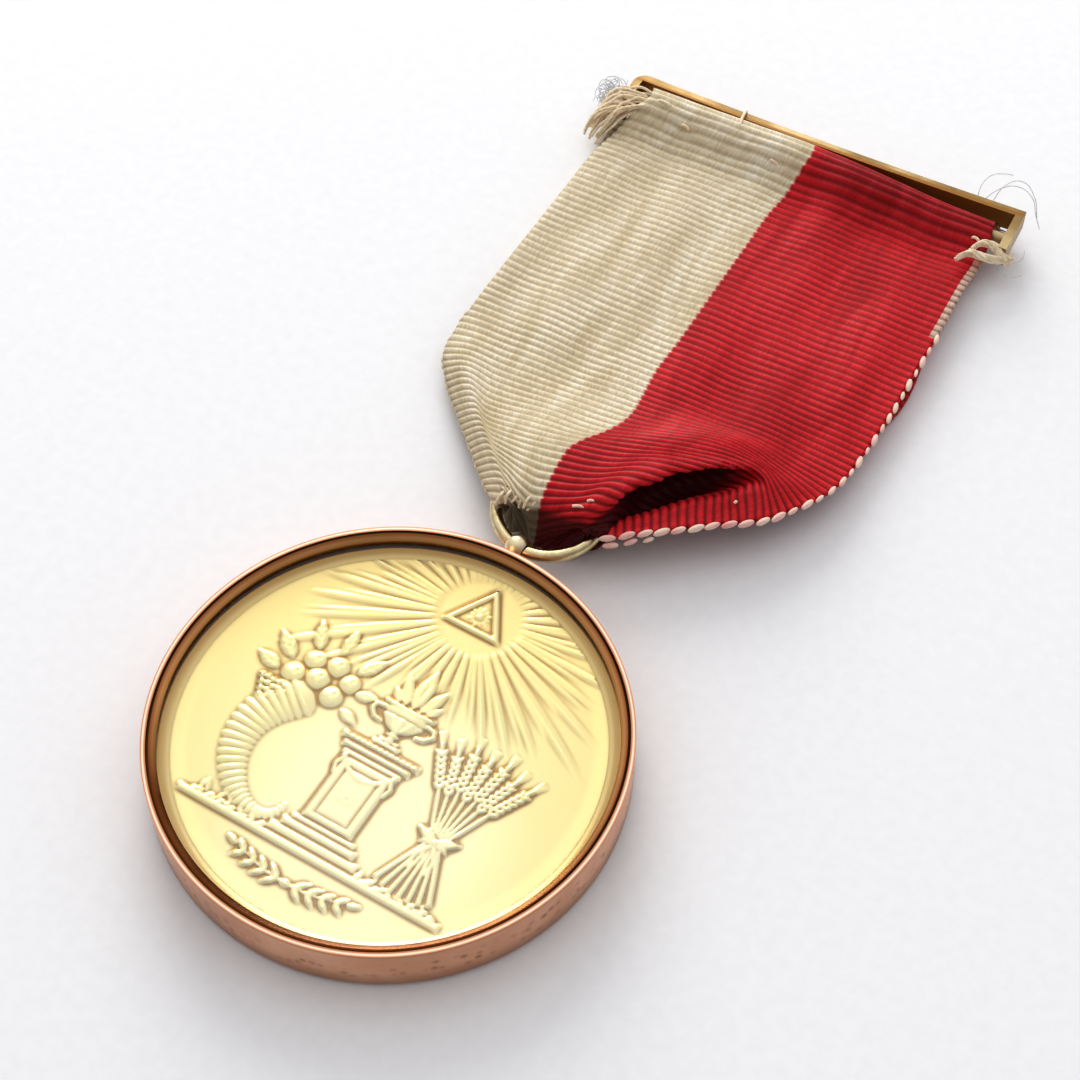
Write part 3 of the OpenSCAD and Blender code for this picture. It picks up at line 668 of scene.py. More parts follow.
def wateredSilk():
    # Silk grosgrain ribbon, woven with a thick weft rib and calendered: rounded ribs with painted shade
    # in their valleys, cloudy watered bands along it, a low sheen and a toothed change of colour
    material = newMaterial("wateredSilk")
    sizes = ribbonSizes
    pitch = sizes["ribPitch"]
    change = sizes["boundary"] * sizes["width"]
    across = addNode(material, "Attribute", {"attribute_name": "clothAcross"})
    along = addNode(material, "Attribute", {"attribute_name": "clothAlong"})
    # watered bands about 4 mm wide and 20 mm long
    wide = addNode(material, "Math", {"operation": "MULTIPLY", 1: 0.24}, {0: across.outputs["Fac"]})
    long = addNode(material, "Math", {"operation": "MULTIPLY", 1: 0.05}, {0: along.outputs["Fac"]})
    bandPlace = addNode(material, "CombineXYZ", None, {"X": wide.outputs[0], "Y": long.outputs[0]})
    bands = addNode(material, "TexNoise",
                    {"Scale": 1.6, "Detail": 4, "Roughness": 0.6, "Distortion": 0.7},
                    {"Vector": bandPlace.outputs[0]})
    # each rib, 0 in the valley and 1 on the crest
    phase = addNode(material, "Math", {"operation": "MULTIPLY", 1: 2 * math.pi / pitch},
                    {0: along.outputs["Fac"]})
    wave = addNode(material, "Math", {"operation": "COSINE"}, {0: phase.outputs[0]})
    crest = addNode(material, "MapRange", {"From Min": -1.0, "From Max": 0.6}, {"Value": wave.outputs[0]})
    # thread by thread unevenness of the weft, about 0.2 mm across the ribs
    threadWide = addNode(material, "Math", {"operation": "MULTIPLY", 1: 5.0}, {0: across.outputs["Fac"]})
    threadLong = addNode(material, "Math", {"operation": "MULTIPLY", 1: 1.3}, {0: along.outputs["Fac"]})
    threadPlace = addNode(material, "CombineXYZ", None,
                          {"X": threadWide.outputs[0], "Y": threadLong.outputs[0]})
    threads = addNode(material, "TexNoise", {"Scale": 1.0, "Detail": 3}, {"Vector": threadPlace.outputs[0]})
    cream = addNode(material, "ValToRGB", None, {"Fac": bands.outputs["Fac"]},
                    [(0.30, "#D3C3A2"), (0.50, "#E2D5B8"), (0.68, "#EFE6D0")])
    crimson = addNode(material, "ValToRGB", None, {"Fac": bands.outputs["Fac"]},
                      [(0.30, "#B6141B"), (0.50, "#CD1C26"), (0.68, "#DD2B33")])
    # a tooth at each rib where the colours meet, with a thin pink line along it
    part = addNode(material, "Math", {"operation": "DIVIDE", 1: pitch}, {0: along.outputs["Fac"]})
    tooth = addNode(material, "Math", {"operation": "FRACT"}, {0: part.outputs[0]})
    toothWide = addNode(material, "Math",
                        {"operation": "MULTIPLY_ADD", 1: sizes["tooth"], 2: change - sizes["tooth"] / 2},
                        {0: tooth.outputs[0]})
    beyond = addNode(material, "Math", {"operation": "SUBTRACT"},
                     {0: across.outputs["Fac"], 1: toothWide.outputs[0]})
    isRed = addNode(material, "MapRange", {"From Min": -0.06, "From Max": 0.06}, {"Value": beyond.outputs[0]})
    base = addNode(material, "MixRGB", None, {"Fac": isRed.outputs[0], "Color1": cream.outputs[0],
                                              "Color2": crimson.outputs[0]})
    near = addNode(material, "Math", {"operation": "ABSOLUTE"}, {0: beyond.outputs[0]})
    pinkShare = addNode(material, "MapRange", {"From Min": 0.16, "From Max": 0.04, "To Max": 0.6},
                        {"Value": near.outputs[0]})
    withPink = addNode(material, "MixRGB", {"Color2": hexColour("#E9A79B")},
                       {"Fac": pinkShare.outputs[0], "Color1": base.outputs[0]})
    # the outermost weft of the right selvedge is worn pale from a little below the rod to the loops
    edge = addNode(material, "Math", {"operation": "GREATER_THAN", 1: sizes["width"] - sizes["wornWidth"]},
                   {0: across.outputs["Fac"]})
    upper = addNode(material, "Math", {"operation": "LESS_THAN", 1: sizes["wornTo"]},
                    {0: along.outputs["Fac"]})
    below = addNode(material, "MapRange",
                    {"From Min": sizes["wornFrom"][0], "From Max": sizes["wornFrom"][1]},
                    {"Value": along.outputs["Fac"]})
    between = addNode(material, "Math", {"operation": "MULTIPLY"},
                      {0: upper.outputs[0], 1: below.outputs[0]})
    worn = addNode(material, "Math", {"operation": "MULTIPLY"},
                   {0: edge.outputs[0], 1: between.outputs[0]})
    edged = addNode(material, "MixRGB", {"Color2": hexColour("#DDC0AC")},
                    {"Fac": worn.outputs[0], "Color1": withPink.outputs[0]})
    # the valleys are painted darker as shade, most of all where the cloth bends down to the ring
    valleyShadeTone = addNode(material, "MixRGB",
                         {"Color1": hexColour("#B9A581"), "Color2": hexColour("#6A060B")},
                         {"Fac": isRed.outputs[0]})
    dip = addNode(material, "MapRange",
                  {"From Min": 0.0, "From Max": 0.75, "To Min": 1.0, "To Max": 0.0},
                  {"Value": crest.outputs[0]})
    depth = addNode(material, "MapRange",
                    {"From Min": 20.0, "From Max": 38.0, "To Min": 0.62, "To Max": 0.85},
                    {"Value": along.outputs["Fac"]})
    valleyShadeShare = addNode(material, "Math", {"operation": "MULTIPLY"},
                          {0: dip.outputs[0], 1: depth.outputs[0]})
    ribbed = addNode(material, "MixRGB", None, {"Fac": valleyShadeShare.outputs[0], "Color1": edged.outputs[0],
                                                "Color2": valleyShadeTone.outputs[0]})
    uneven = addNode(material, "MapRange",
                     {"From Min": 0.35, "From Max": 0.65, "To Min": 0.86, "To Max": 1.08},
                     {"Value": threads.outputs["Fac"]})
    colour = addNode(material, "MixRGB", {"blend_type": "MULTIPLY", "Fac": 1.0},
                     {"Color1": ribbed.outputs[0], "Color2": uneven.outputs[0]})
    gloss = addNode(material, "MapRange",
                    {"From Min": 0.35, "From Max": 0.65, "To Min": 0.62, "To Max": 0.48},
                    {"Value": bands.outputs["Fac"]})
    bump = addNode(material, "Bump", {"Strength": 0.35, "Distance": 0.00006},
                   {"Height": threads.outputs["Fac"]})
    # painted shade deep in the pocket of the fold, in the bundle inside the ring and on the crimson half
    # under the rail
    paintedShade = addNode(material, "Attribute", {"attribute_name": "clothPaintedShade"})
    paintedShadeAmount = addNode(material, "Math", {"operation": "MULTIPLY", 1: 0.88}, {0: paintedShade.outputs["Fac"]})
    paintedShadeTone = addNode(material, "MixRGB", {"Color1": hexColour("#4A402C"), "Color2": hexColour("#3A0206")},
                       {"Fac": isRed.outputs[0]})
    shaded = addNode(material, "MixRGB", None, {"Fac": paintedShadeAmount.outputs[0], "Color1": colour.outputs[0],
                                                "Color2": paintedShadeTone.outputs[0]})
    shader = addNode(material, "BsdfPrincipled",
                     {"Specular IOR Level": 0.22, "Sheen Weight": 0.03, "Sheen Roughness": 0.4},
                     {"Base Color": shaded.outputs[0], "Roughness": gloss.outputs[0],
                      "Normal": bump.outputs[0]})
    return closeMaterial(material, shader)


ribbon, clothSurface, clothRowPlaces = makeRibbon()
silk = wateredSilk()
finishPiece(ribbon, silk, "ribbon_silk", "ribbon")
print("ribbon made with", len(ribbon.data.polygons), "faces")


# Metals and glass of the carried over pieces, with the heights and radii where their tones change

caseSizes = {
    "foot": (2.4, 0.4),  # heights where the painted shade round the foot begins and is full
    "pitsHeight": 2.8,
    "pitsReach": (1.6, 0.7),  # from that height: where the pits end and are full
    "lipHeight": (4.9, 5.15),
    "lipRadius": (18.6, 19.0),
    "ball": (19.1, 19.5),  # up the ribbon
}
bezelSizes = {
    "radius": (17.8, 18.55),
    "nearShade": (-5.0, -13.0),  # painted shade: down from the middle, where it begins and is full
}
barSizes = {
    "middle": (4.5, 72.5, 0.0),
    "innerFaceShade": (0.4, -0.8),  # outer faces lie over the first, inner ones in painted shade under the second
    "ends": (-16.0, 24.0),
    "bow": 0.3,
    "rail": (74.75, 74.58),  # pale over the first, painted shade under the second
    "railFrom": 74.3,
}


def roseGold():
    # rose gold, turned and worn satin: coppery along the wall with patches of small brown pits,
    # a painted highlight along the lip, and painted shade round the foot; the soldered ball is of a paler
    # gold
    material = newMaterial("satinRoseGold")
    sizes = caseSizes
    place = addNode(material, "TexCoord")
    parts = addNode(material, "SeparateXYZ", None, {"Vector": place.outputs["Object"]})
    cloud = addNode(material, "TexNoise", {"Scale": 160, "Detail": 3}, {"Vector": place.outputs["Object"]})
    base = addNode(material, "ValToRGB", None, {"Fac": cloud.outputs["Fac"]},
                   [(0.30, "#D39A78"), (0.55, "#E3AE8C"), (0.75, "#F0C2A2")])
    # painted shade darkens the wall towards the foot
    foot = addNode(material, "MapRange",
                   {"From Min": sizes["foot"][0] * mm, "From Max": sizes["foot"][1] * mm, "To Max": 0.55},
                   {"Value": parts.outputs["Z"]})
    footed = addNode(material, "MixRGB", {"Color2": hexColour("#6E4630")},
                     {"Fac": foot.outputs[0], "Color1": base.outputs[0]})
    # soft pits of about 0.5 mm, in patches along the middle of the wall
    pits = addNode(material, "TexVoronoi", {"Scale": 1100, "Randomness": 1.0},
                   {"Vector": place.outputs["Object"]})
    pit = addNode(material, "MapRange",
                  {"From Min": 0.10, "From Max": 0.46, "To Min": 0.75, "To Max": 0.0},
                  {"Value": pits.outputs["Distance"]})
    patch = addNode(material, "TexNoise", {"Scale": 330, "Detail": 1},
                    {"Vector": place.outputs["Object"]})
    where = addNode(material, "MapRange", {"From Min": 0.36, "From Max": 0.6},
                    {"Value": patch.outputs["Fac"]})
    offMiddle = addNode(material, "Math", {"operation": "SUBTRACT", 1: sizes["pitsHeight"] * mm},
                        {0: parts.outputs["Z"]})
    fromMiddle = addNode(material, "Math", {"operation": "ABSOLUTE"}, {0: offMiddle.outputs[0]})
    wall = addNode(material, "MapRange",
                   {"From Min": sizes["pitsReach"][0] * mm, "From Max": sizes["pitsReach"][1] * mm},
                   {"Value": fromMiddle.outputs[0]})
    pitWall = addNode(material, "Math", {"operation": "MULTIPLY"},
                      {0: where.outputs[0], 1: wall.outputs[0]})
    pitted = addNode(material, "Math", {"operation": "MULTIPLY"},
                     {0: pit.outputs[0], 1: pitWall.outputs[0]})
    colour = addNode(material, "MixRGB", {"Color2": hexColour("#9A6040")},
                     {"Fac": pitted.outputs[0], "Color1": footed.outputs[0]})
    # the lip's tone goes from the seam with the bezel out over its crest, with a painted highlight on the
    # crest
    lip = addNode(material, "MapRange",
                  {"From Min": sizes["lipHeight"][0] * mm, "From Max": sizes["lipHeight"][1] * mm},
                  {"Value": parts.outputs["Z"]})
    flatPlace = addNode(material, "CombineXYZ", None, {"X": parts.outputs["X"], "Y": parts.outputs["Y"]})
    radius = addNode(material, "VectorMath", {"operation": "LENGTH"}, {0: flatPlace.outputs[0]})
    overLip = addNode(material, "MapRange",
                      {"From Min": sizes["lipRadius"][0] * mm, "From Max": sizes["lipRadius"][1] * mm},
                      {"Value": radius.outputs["Value"]})
    lipHighlightTone = addNode(material, "ValToRGB", None, {"Fac": overLip.outputs[0]},
                      [(0.0, "#A8714C"), (0.25, "#C99372"), (0.55, "#FFE8D2"), (0.8, "#D6A07C"),
                       (1.0, "#BE8867")])
    metalTone = addNode(material, "MixRGB", None, {"Fac": lip.outputs[0], "Color1": colour.outputs[0],
                                                "Color2": lipHighlightTone.outputs[0]})
    ball = addNode(material, "MapRange",
                   {"From Min": sizes["ball"][0] * mm, "From Max": sizes["ball"][1] * mm},
                   {"Value": parts.outputs["Y"]})
    paleBall = addNode(material, "MixRGB", {"Color2": hexColour("#E9D9B4")},
                       {"Fac": ball.outputs[0], "Color1": metalTone.outputs[0]})
    rough = addNode(material, "MapRange",
                    {"From Min": 0.3, "From Max": 0.7, "To Min": 0.26, "To Max": 0.38},
                    {"Value": cloud.outputs["Fac"]})
    bump = addNode(material, "Bump", {"Strength": 0.3, "Distance": 0.00005, "invert": True},
                   {"Height": pitted.outputs[0]})
    shader = addNode(material, "BsdfPrincipled", {"Metallic": 1.0},
                     {"Base Color": paleBall.outputs[0], "Roughness": rough.outputs[0],
                      "Normal": bump.outputs[0]})
    return closeMaterial(material, shader)


def paintedShadeBezel():
    # turned brass bezel: coppery and polished on its slope, black in the seam beside the case, and
    # brown with painted shade over its side towards -y
    material = newMaterial("bezelBrassPaintedShade")
    sizes = bezelSizes
    place = addNode(material, "TexCoord")
    parts = addNode(material, "SeparateXYZ", None, {"Vector": place.outputs["Object"]})
    flatPlace = addNode(material, "CombineXYZ", None, {"X": parts.outputs["X"], "Y": parts.outputs["Y"]})
    radius = addNode(material, "VectorMath", {"operation": "LENGTH"}, {0: flatPlace.outputs[0]})
    over = addNode(material, "MapRange",
                   {"From Min": sizes["radius"][0] * mm, "From Max": sizes["radius"][1] * mm},
                   {"Value": radius.outputs["Value"]})
    farSideTone = addNode(material, "ValToRGB", None, {"Fac": over.outputs[0]},
                    [(0.0, "#7A4A20"), (0.12, "#C48E50"), (0.4, "#D9A06C"), (0.7, "#B87443"),
                     (0.8, "#3A2012"), (1.0, "#1E120C")])
    nearShadeTone = addNode(material, "ValToRGB", None, {"Fac": over.outputs[0]},
                        [(0.0, "#1C0E06"), (0.2, "#5A3010"), (0.6, "#7C461C"), (1.0, "#3A1E0C")])
    # painted shade over the side towards -y, with a cloudy edge
    nearSideShade = addNode(material, "MapRange",
                      {"From Min": sizes["nearShade"][0] * mm, "From Max": sizes["nearShade"][1] * mm},
                      {"Value": parts.outputs["Y"]})
    cloud = addNode(material, "TexNoise", {"Scale": 170, "Detail": 3}, {"Vector": place.outputs["Object"]})
    shift = addNode(material, "Math", {"operation": "MULTIPLY_ADD", 1: 0.7, 2: -0.35},
                    {0: cloud.outputs["Fac"]})
    level = addNode(material, "Math", {"operation": "ADD", "use_clamp": True},
                    {0: nearSideShade.outputs[0], 1: shift.outputs[0]})
    colour = addNode(material, "MixRGB", None, {"Fac": level.outputs[0], "Color1": farSideTone.outputs[0],
                                                "Color2": nearShadeTone.outputs[0]})
    shader = addNode(material, "BsdfPrincipled", {"Metallic": 1.0, "Roughness": 0.24},
                     {"Base Color": colour.outputs[0]})
    return closeMaterial(material, shader)


def flatGlass():
    # thin flat polished glass: clear, with the reflection stronger at a slant
    material = newMaterial("flatWatchGlass")
    facing = addNode(material, "LayerWeight", {"Blend": 0.5})
    grazing = addNode(material, "Math", {"operation": "POWER", 1: 5.0}, {0: facing.outputs["Facing"]})
    slant = addNode(material, "Math", {"operation": "MULTIPLY_ADD", 1: 0.9, 2: 0.035},
                    {0: grazing.outputs[0]})
    through = addNode(material, "BsdfTransparent", {"Color": hexColour("#FDFEFC")})
    gloss = addNode(material, "BsdfGlossy", {"Roughness": 0.12, "Color": hexColour("#FFFFFF")})
    clear = addNode(material, "MixShader", None,
                    {0: slant.outputs[0], 1: through.outputs[0], 2: gloss.outputs[0]})
    # its ground edge is painted the colour of the metal round it, as a painted reflection
    shape = addNode(material, "NewGeometry")
    way = addNode(material, "SeparateXYZ", None, {"Vector": shape.outputs["Normal"]})
    flat = addNode(material, "Math", {"operation": "ABSOLUTE"}, {0: way.outputs["Z"]})
    edge = addNode(material, "Math", {"operation": "LESS_THAN", 1: 0.5}, {0: flat.outputs[0]})
    paintedEdgeReflection = addNode(material, "BsdfPrincipled", {"Base Color": hexColour("#C79A55"), "Roughness": 0.6})
    shader = addNode(material, "MixShader", None,
                     {0: edge.outputs[0], 1: clear.outputs[0], 2: paintedEdgeReflection.outputs[0]})
    return closeMaterial(material, shader)


def palePolishedWire():
    # pale gold wire, drawn and polished, with faint draw marks
    material = newMaterial("polishedPaleGoldWire")
    place = addNode(material, "TexCoord")
    marks = addNode(material, "TexNoise", {"Scale": 1500, "Detail": 2}, {"Vector": place.outputs["Object"]})
    base = addNode(material, "ValToRGB", None, {"Fac": marks.outputs["Fac"]},
                   [(0.3, "#CDBB8E"), (0.7, "#E3D5AE")])
    bump = addNode(material, "Bump", {"Strength": 0.12, "Distance": 0.00003},
                   {"Height": marks.outputs["Fac"]})
    shader = addNode(material, "BsdfPrincipled", {"Metallic": 1.0, "Roughness": 0.2},
                     {"Base Color": base.outputs[0], "Normal": bump.outputs[0]})
    return closeMaterial(material, shader)


def brassWithPaintedShade():
    # brass strip, rolled and bent: pale on its top and outer faces, brown painted shade on its inner faces
    material = newMaterial("brassStripPaintedShade")
    sizes = barSizes
    place = addNode(material, "TexCoord")
    cloud = addNode(material, "TexNoise", {"Scale": 220, "Detail": 4}, {"Vector": place.outputs["Object"]})
    metalTone = addNode(material, "ValToRGB", None, {"Fac": cloud.outputs["Fac"]},
                     [(0.28, "#7F6944"), (0.5, "#9C845C"), (0.7, "#BDA882")])
    shape = addNode(material, "NewGeometry")
    fromMiddle = addNode(material, "VectorMath",
                         {"operation": "SUBTRACT", 1: [far * mm for far in sizes["middle"]]},
                         {0: place.outputs["Object"]})
    outwards = addNode(material, "VectorMath", {"operation": "DOT_PRODUCT"},
                       {0: fromMiddle.outputs["Vector"], 1: shape.outputs["Normal"]})
    innerFaceShade = addNode(material, "MapRange",
                     {"From Min": sizes["innerFaceShade"][0] * mm, "From Max": sizes["innerFaceShade"][1] * mm},
                     {"Value": outwards.outputs["Value"]})
    # the bowed rail gets painted shade along its inner half, and its outer half stays pale
    parts = addNode(material, "SeparateXYZ", None, {"Vector": place.outputs["Object"]})
    side = addNode(material, "MapRange",
                   {"From Min": sizes["ends"][0] * mm, "From Max": sizes["ends"][1] * mm,
                    "To Min": -1.0, "To Max": 1.0},
                   {"Value": parts.outputs["X"]})
    bow = addNode(material, "Math", {"operation": "MULTIPLY"}, {0: side.outputs[0], 1: side.outputs[0]})
    bent = addNode(material, "Math", {"operation": "MULTIPLY_ADD", 1: -sizes["bow"] * mm},
                   {0: bow.outputs[0], 2: parts.outputs["Y"]})
    inner = addNode(material, "MapRange",
                    {"From Min": sizes["rail"][0] * mm, "From Max": sizes["rail"][1] * mm},
                    {"Value": bent.outputs[0]})
    onRail = addNode(material, "Math", {"operation": "GREATER_THAN", 1: sizes["railFrom"] * mm},
                     {0: bent.outputs[0]})
    innerRailShade = addNode(material, "Math", {"operation": "MULTIPLY"},
                        {0: inner.outputs[0], 1: onRail.outputs[0]})
    # painted shade on the inner faces and the rail's inner half, which are also less metallic
    innerShade = addNode(material, "Math", {"operation": "MAXIMUM"},
                   {0: innerRailShade.outputs[0], 1: innerFaceShade.outputs[0]})
    base = addNode(material, "MixRGB", {"Color2": hexColour("#9A6A22")},
                   {"Fac": innerShade.outputs[0], "Color1": metalTone.outputs[0]})
    metal = addNode(material, "MapRange", {"To Min": 1.0, "To Max": 0.45}, {"Value": innerShade.outputs[0]})
    bump = addNode(material, "Bump", {"Strength": 0.25, "Distance": 0.00006},
                   {"Height": cloud.outputs["Fac"]})
    shader = addNode(material, "BsdfPrincipled", {"Roughness": 0.36},
                     {"Base Color": base.outputs[0], "Normal": bump.outputs[0], "Metallic": metal.outputs[0]})
    return closeMaterial(material, shader)


def drawnSteel():
    # plain drawn steel wire, dull grey with fine lines along it
    material = newMaterial("drawnPinSteel")
    place = addNode(material, "TexCoord")
    stretch = addNode(material, "Mapping", {"Scale": (200, 4000, 4000)}, {"Vector": place.outputs["Object"]})
    lines = addNode(material, "TexNoise", {"Scale": 1.0, "Detail": 2}, {"Vector": stretch.outputs[0]})
    base = addNode(material, "ValToRGB", None, {"Fac": lines.outputs["Fac"]},
                   [(0.3, "#8B8983"), (0.7, "#B4B2AC")])
    shader = addNode(material, "BsdfPrincipled", {"Metallic": 1.0, "Roughness": 0.35},
                     {"Base Color": base.outputs[0]})
    return closeMaterial(material, shader)


giveMaterial(nodes["case_body"], roseGold())
giveMaterial(nodes["bezel_ring"], paintedShadeBezel())
giveMaterial(nodes["front_glass"], flatGlass())
giveMaterial(nodes["suspension_ring"], palePolishedWire())
giveMaterial(nodes["brooch_frame"], brassWithPaintedShade())
giveMaterial(nodes["brooch_pin"], drawnSteel())
print("metals and glass given")


# Medal: a turned blank with a raised border, and the struck design as a fine net of heights on it.
# The design is laid out in hundredths of the field's radius.

medalSizes = {
    "lowZ": 0.85,
    "fieldZ": 3.35,
    "borderZ": 3.85,
    "seatR": 18.55,
    "fieldR": 16.95,
    "turned": -3.5,
    "paintedLightMiddle": (2, -7, 3.5),  # the middle of the painted light, the brightest part, and how far from it the tone changes
    "paintedLightReach": (6, 25),
    "borderTone": (16.7, 17.7),
    "cells": 336,
    "turns": 160,
    "blur": 1,
    "relief": 0.68,
    "broadSteps": 8,  # how far round a place its hollows are judged
    "hollowDepth": 0.05,
    "rise": 0.14,
    "riseFrom": 15.6,
    "risePast": 0.9,
    "gap": 0.005,
    "lastRow": 0.16,
    "skirt": 0.5,
    "sunY": 77.8,
    "sunSide": 33,
    "rays": 78,
    "longRays": (-30, -150),
}
hundredth = medalSizes["fieldR"] / 100


def newNet():
    # places on the field, and the same places in the design, which is turned a little
    side = np.linspace(-101, 101, medalSizes["cells"] + 1)
    placeX, placeY = np.meshgrid(side, side)
    c, s = math.cos(math.radians(medalSizes["turned"])), math.sin(math.radians(medalSizes["turned"]))
    return {"placeX": placeX, "placeY": placeY, "height": np.zeros_like(placeX),
            "x": placeX * c + placeY * s, "y": placeY * c - placeX * s}


def raiseTo(net, height):
    net["height"] = np.maximum(net["height"], height)


def carve(net, depth):
    net["height"] = net["height"] - np.minimum(depth, net["height"] * 0.7)


def seenFrom(net, x, y, angle):
    # places seen from a spot, with the first axis at an angle in degrees
    c, s = math.cos(math.radians(angle)), math.sin(math.radians(angle))
    dx, dy = net["x"] - x, net["y"] - y
    return dx * c + dy * s, dy * c - dx * s


def slab(net, left, low, right, high, height, edge=2.6):
    inside = np.minimum(np.minimum(net["x"] - left, right - net["x"]),
                        np.minimum(net["y"] - low, high - net["y"]))
    raiseTo(net, height * smoothStep(-0.3, edge, inside))


def dome(net, x, y, long, wide, height, angle=0):
    a, b = seenFrom(net, x, y, angle)
    raiseTo(net, height * np.maximum(1 - (a / long) ** 2 - (b / wide) ** 2, 0) ** 0.8)


def leaf(net, x, y, angle, long, wide, height, veins=0):
    # a pointed leaf from its foot, with a midrib and side veins
    a, b = seenFrom(net, x, y, angle)
    half = wide / 2 * np.sin(math.pi * np.clip(a / long, 0, 1) ** 0.8) + 1e-6
    left = np.maximum(np.where((a > 0) & (a < long), 1 - (b / half) ** 2, 0), 0)
    body = height * (0.3 + 0.7 * left) * smoothStep(0, 0.5, left)
    body = body - 0.25 * height * np.exp(-(b / (0.1 * wide)) ** 2) * (left > 0)
    if veins:
        wave = np.cos((a - abs(b) * 1.2) / long * veins * 2 * math.pi)
        body = body + 0.12 * height * wave * smoothStep(0, 0.6, left)
    raiseTo(net, np.maximum(body, 0))


def stroke(net, points, widths, height):
    # a rounded ridge through points, with a half width at each
    for (x0, y0), (x1, y1), w0, w1 in zip(points, points[1:], widths, widths[1:]):
        length = math.hypot(x1 - x0, y1 - y0)
        a, b = seenFrom(net, x0, y0, math.degrees(math.atan2(y1 - y0, x1 - x0)))
        share = np.clip(a / length, 0, 1)
        wide = w0 + (w1 - w0) * share
        off = np.hypot(a - share * length, b) / wide
        raiseTo(net, height * np.maximum(1 - off ** 2, 0) ** 0.8 * (0.6 + 0.4 * wide / max(widths)))


def strikeGlory(net):
    # rays of uneven length round a framed triangle with a small sun in it, longest down both sides
    sizes = medalSizes
    sunY, side = sizes["sunY"], sizes["sunSide"]
    out = np.hypot(net["x"], net["y"] - sunY)
    turn = np.arctan2(net["y"] - sunY, net["x"])
    for i in range(sizes["rays"]):
        middle = 2 * math.pi * (i + 0.5 + 0.22 * math.sin(i * 2.9)) / sizes["rays"]
        reach = 36 + 10 * math.sin(i * 1.7) ** 2 + 7 * (i % 3)
        for longest in sizes["longRays"]:
            away = (math.degrees(middle) - longest + 180) % 360 - 180
            reach += (34 + 12 * (i % 2)) * math.exp(-(away / 34) ** 2)
        gap = abs((turn - middle + math.pi) % (2 * math.pi) - math.pi) * out
        share = np.clip((out - 20) / (reach - 20), 0, 1)
        half = 0.4 + (1.1 + 0.9 * (i % 2)) * np.sqrt(share) * (1 - share ** 4) * reach / 60
        tall = 0.11 * smoothStep(19, 24, out) * (1 - smoothStep(reach * 0.75, reach, out))
        raiseTo(net, tall * np.maximum(1 - (gap / half) ** 2, 0))
    inner = np.full_like(net["x"], 1e9)
    for edge in (-90, 30, 150):
        a = math.radians(edge)
        reach = net["x"] * math.cos(a) + (net["y"] - sunY) * math.sin(a)
        inner = np.minimum(inner, side / math.sqrt(12) - reach)
    net["height"] = net["height"] * (1 - smoothStep(-3, 0, inner))
    raiseTo(net, 0.26 * smoothStep(0, 1.2, inner) * (1 - smoothStep(2.6, 3.8, inner)))
    raiseTo(net, 0.07 * smoothStep(3.2, 4.2, inner))
    dome(net, 0, sunY, 2.4, 2.4, 0.30)
    for i in range(12):
        a = i * math.pi / 6
        leaf(net, 2.2 * math.cos(a), sunY + 2.2 * math.sin(a), i * 30, 3.2 + i % 2, 1.4, 0.2)


def strikeAltar(net):
    # steps, die with its panel and rosette, cornice with a row of beads, festoon
    for left, low, right, high, height in (
            (-24, -66, 24, -60, 0.22), (-20, -61, 20, -55.5, 0.30), (-17, -56, 17, -52.5, 0.36),
            (-14, -53, 14, -16, 0.32), (-16, -17, 16, -13, 0.37), (-18.5, -13.5, 18.5, -9, 0.42),
            (-21, -9.5, 21, -5, 0.38)):
        slab(net, left, low, right, high, height)
    panel = np.minimum(10 - abs(net["x"]), 15 - abs(net["y"] + 35))
    carve(net, 0.09 * smoothStep(0, 1.2, panel) * (1 - smoothStep(1.9, 3.1, panel)))
    for i in range(6):
        leaf(net, 0, -35, 30 + 60 * i, 7, 4.6, 0.41, 3)
        leaf(net, 0, -35, 60 * i, 5, 2.8, 0.38)
    dome(net, 0, -35, 2.1, 2.1, 0.44)
    for x in range(-18, 20, 3):
        dome(net, x, -7.2, 1.4, 1.7, 0.45)
    for i in range(15):
        t = (i - 7) / 7
        dome(net, 12.5 * t, -25 + 6.5 * t * t, 2.0, 1.8, 0.43 - 0.04 * abs(t), 40 * t)
    for side in (-1, 1):
        dome(net, 13 * side, -17.6, 2.0, 2.0, 0.45)
        stroke(net, [(13 * side, -18.5), (14.6 * side, -22.5), (13.4 * side, -27)], [1.4, 1.2, 0.6], 0.38)


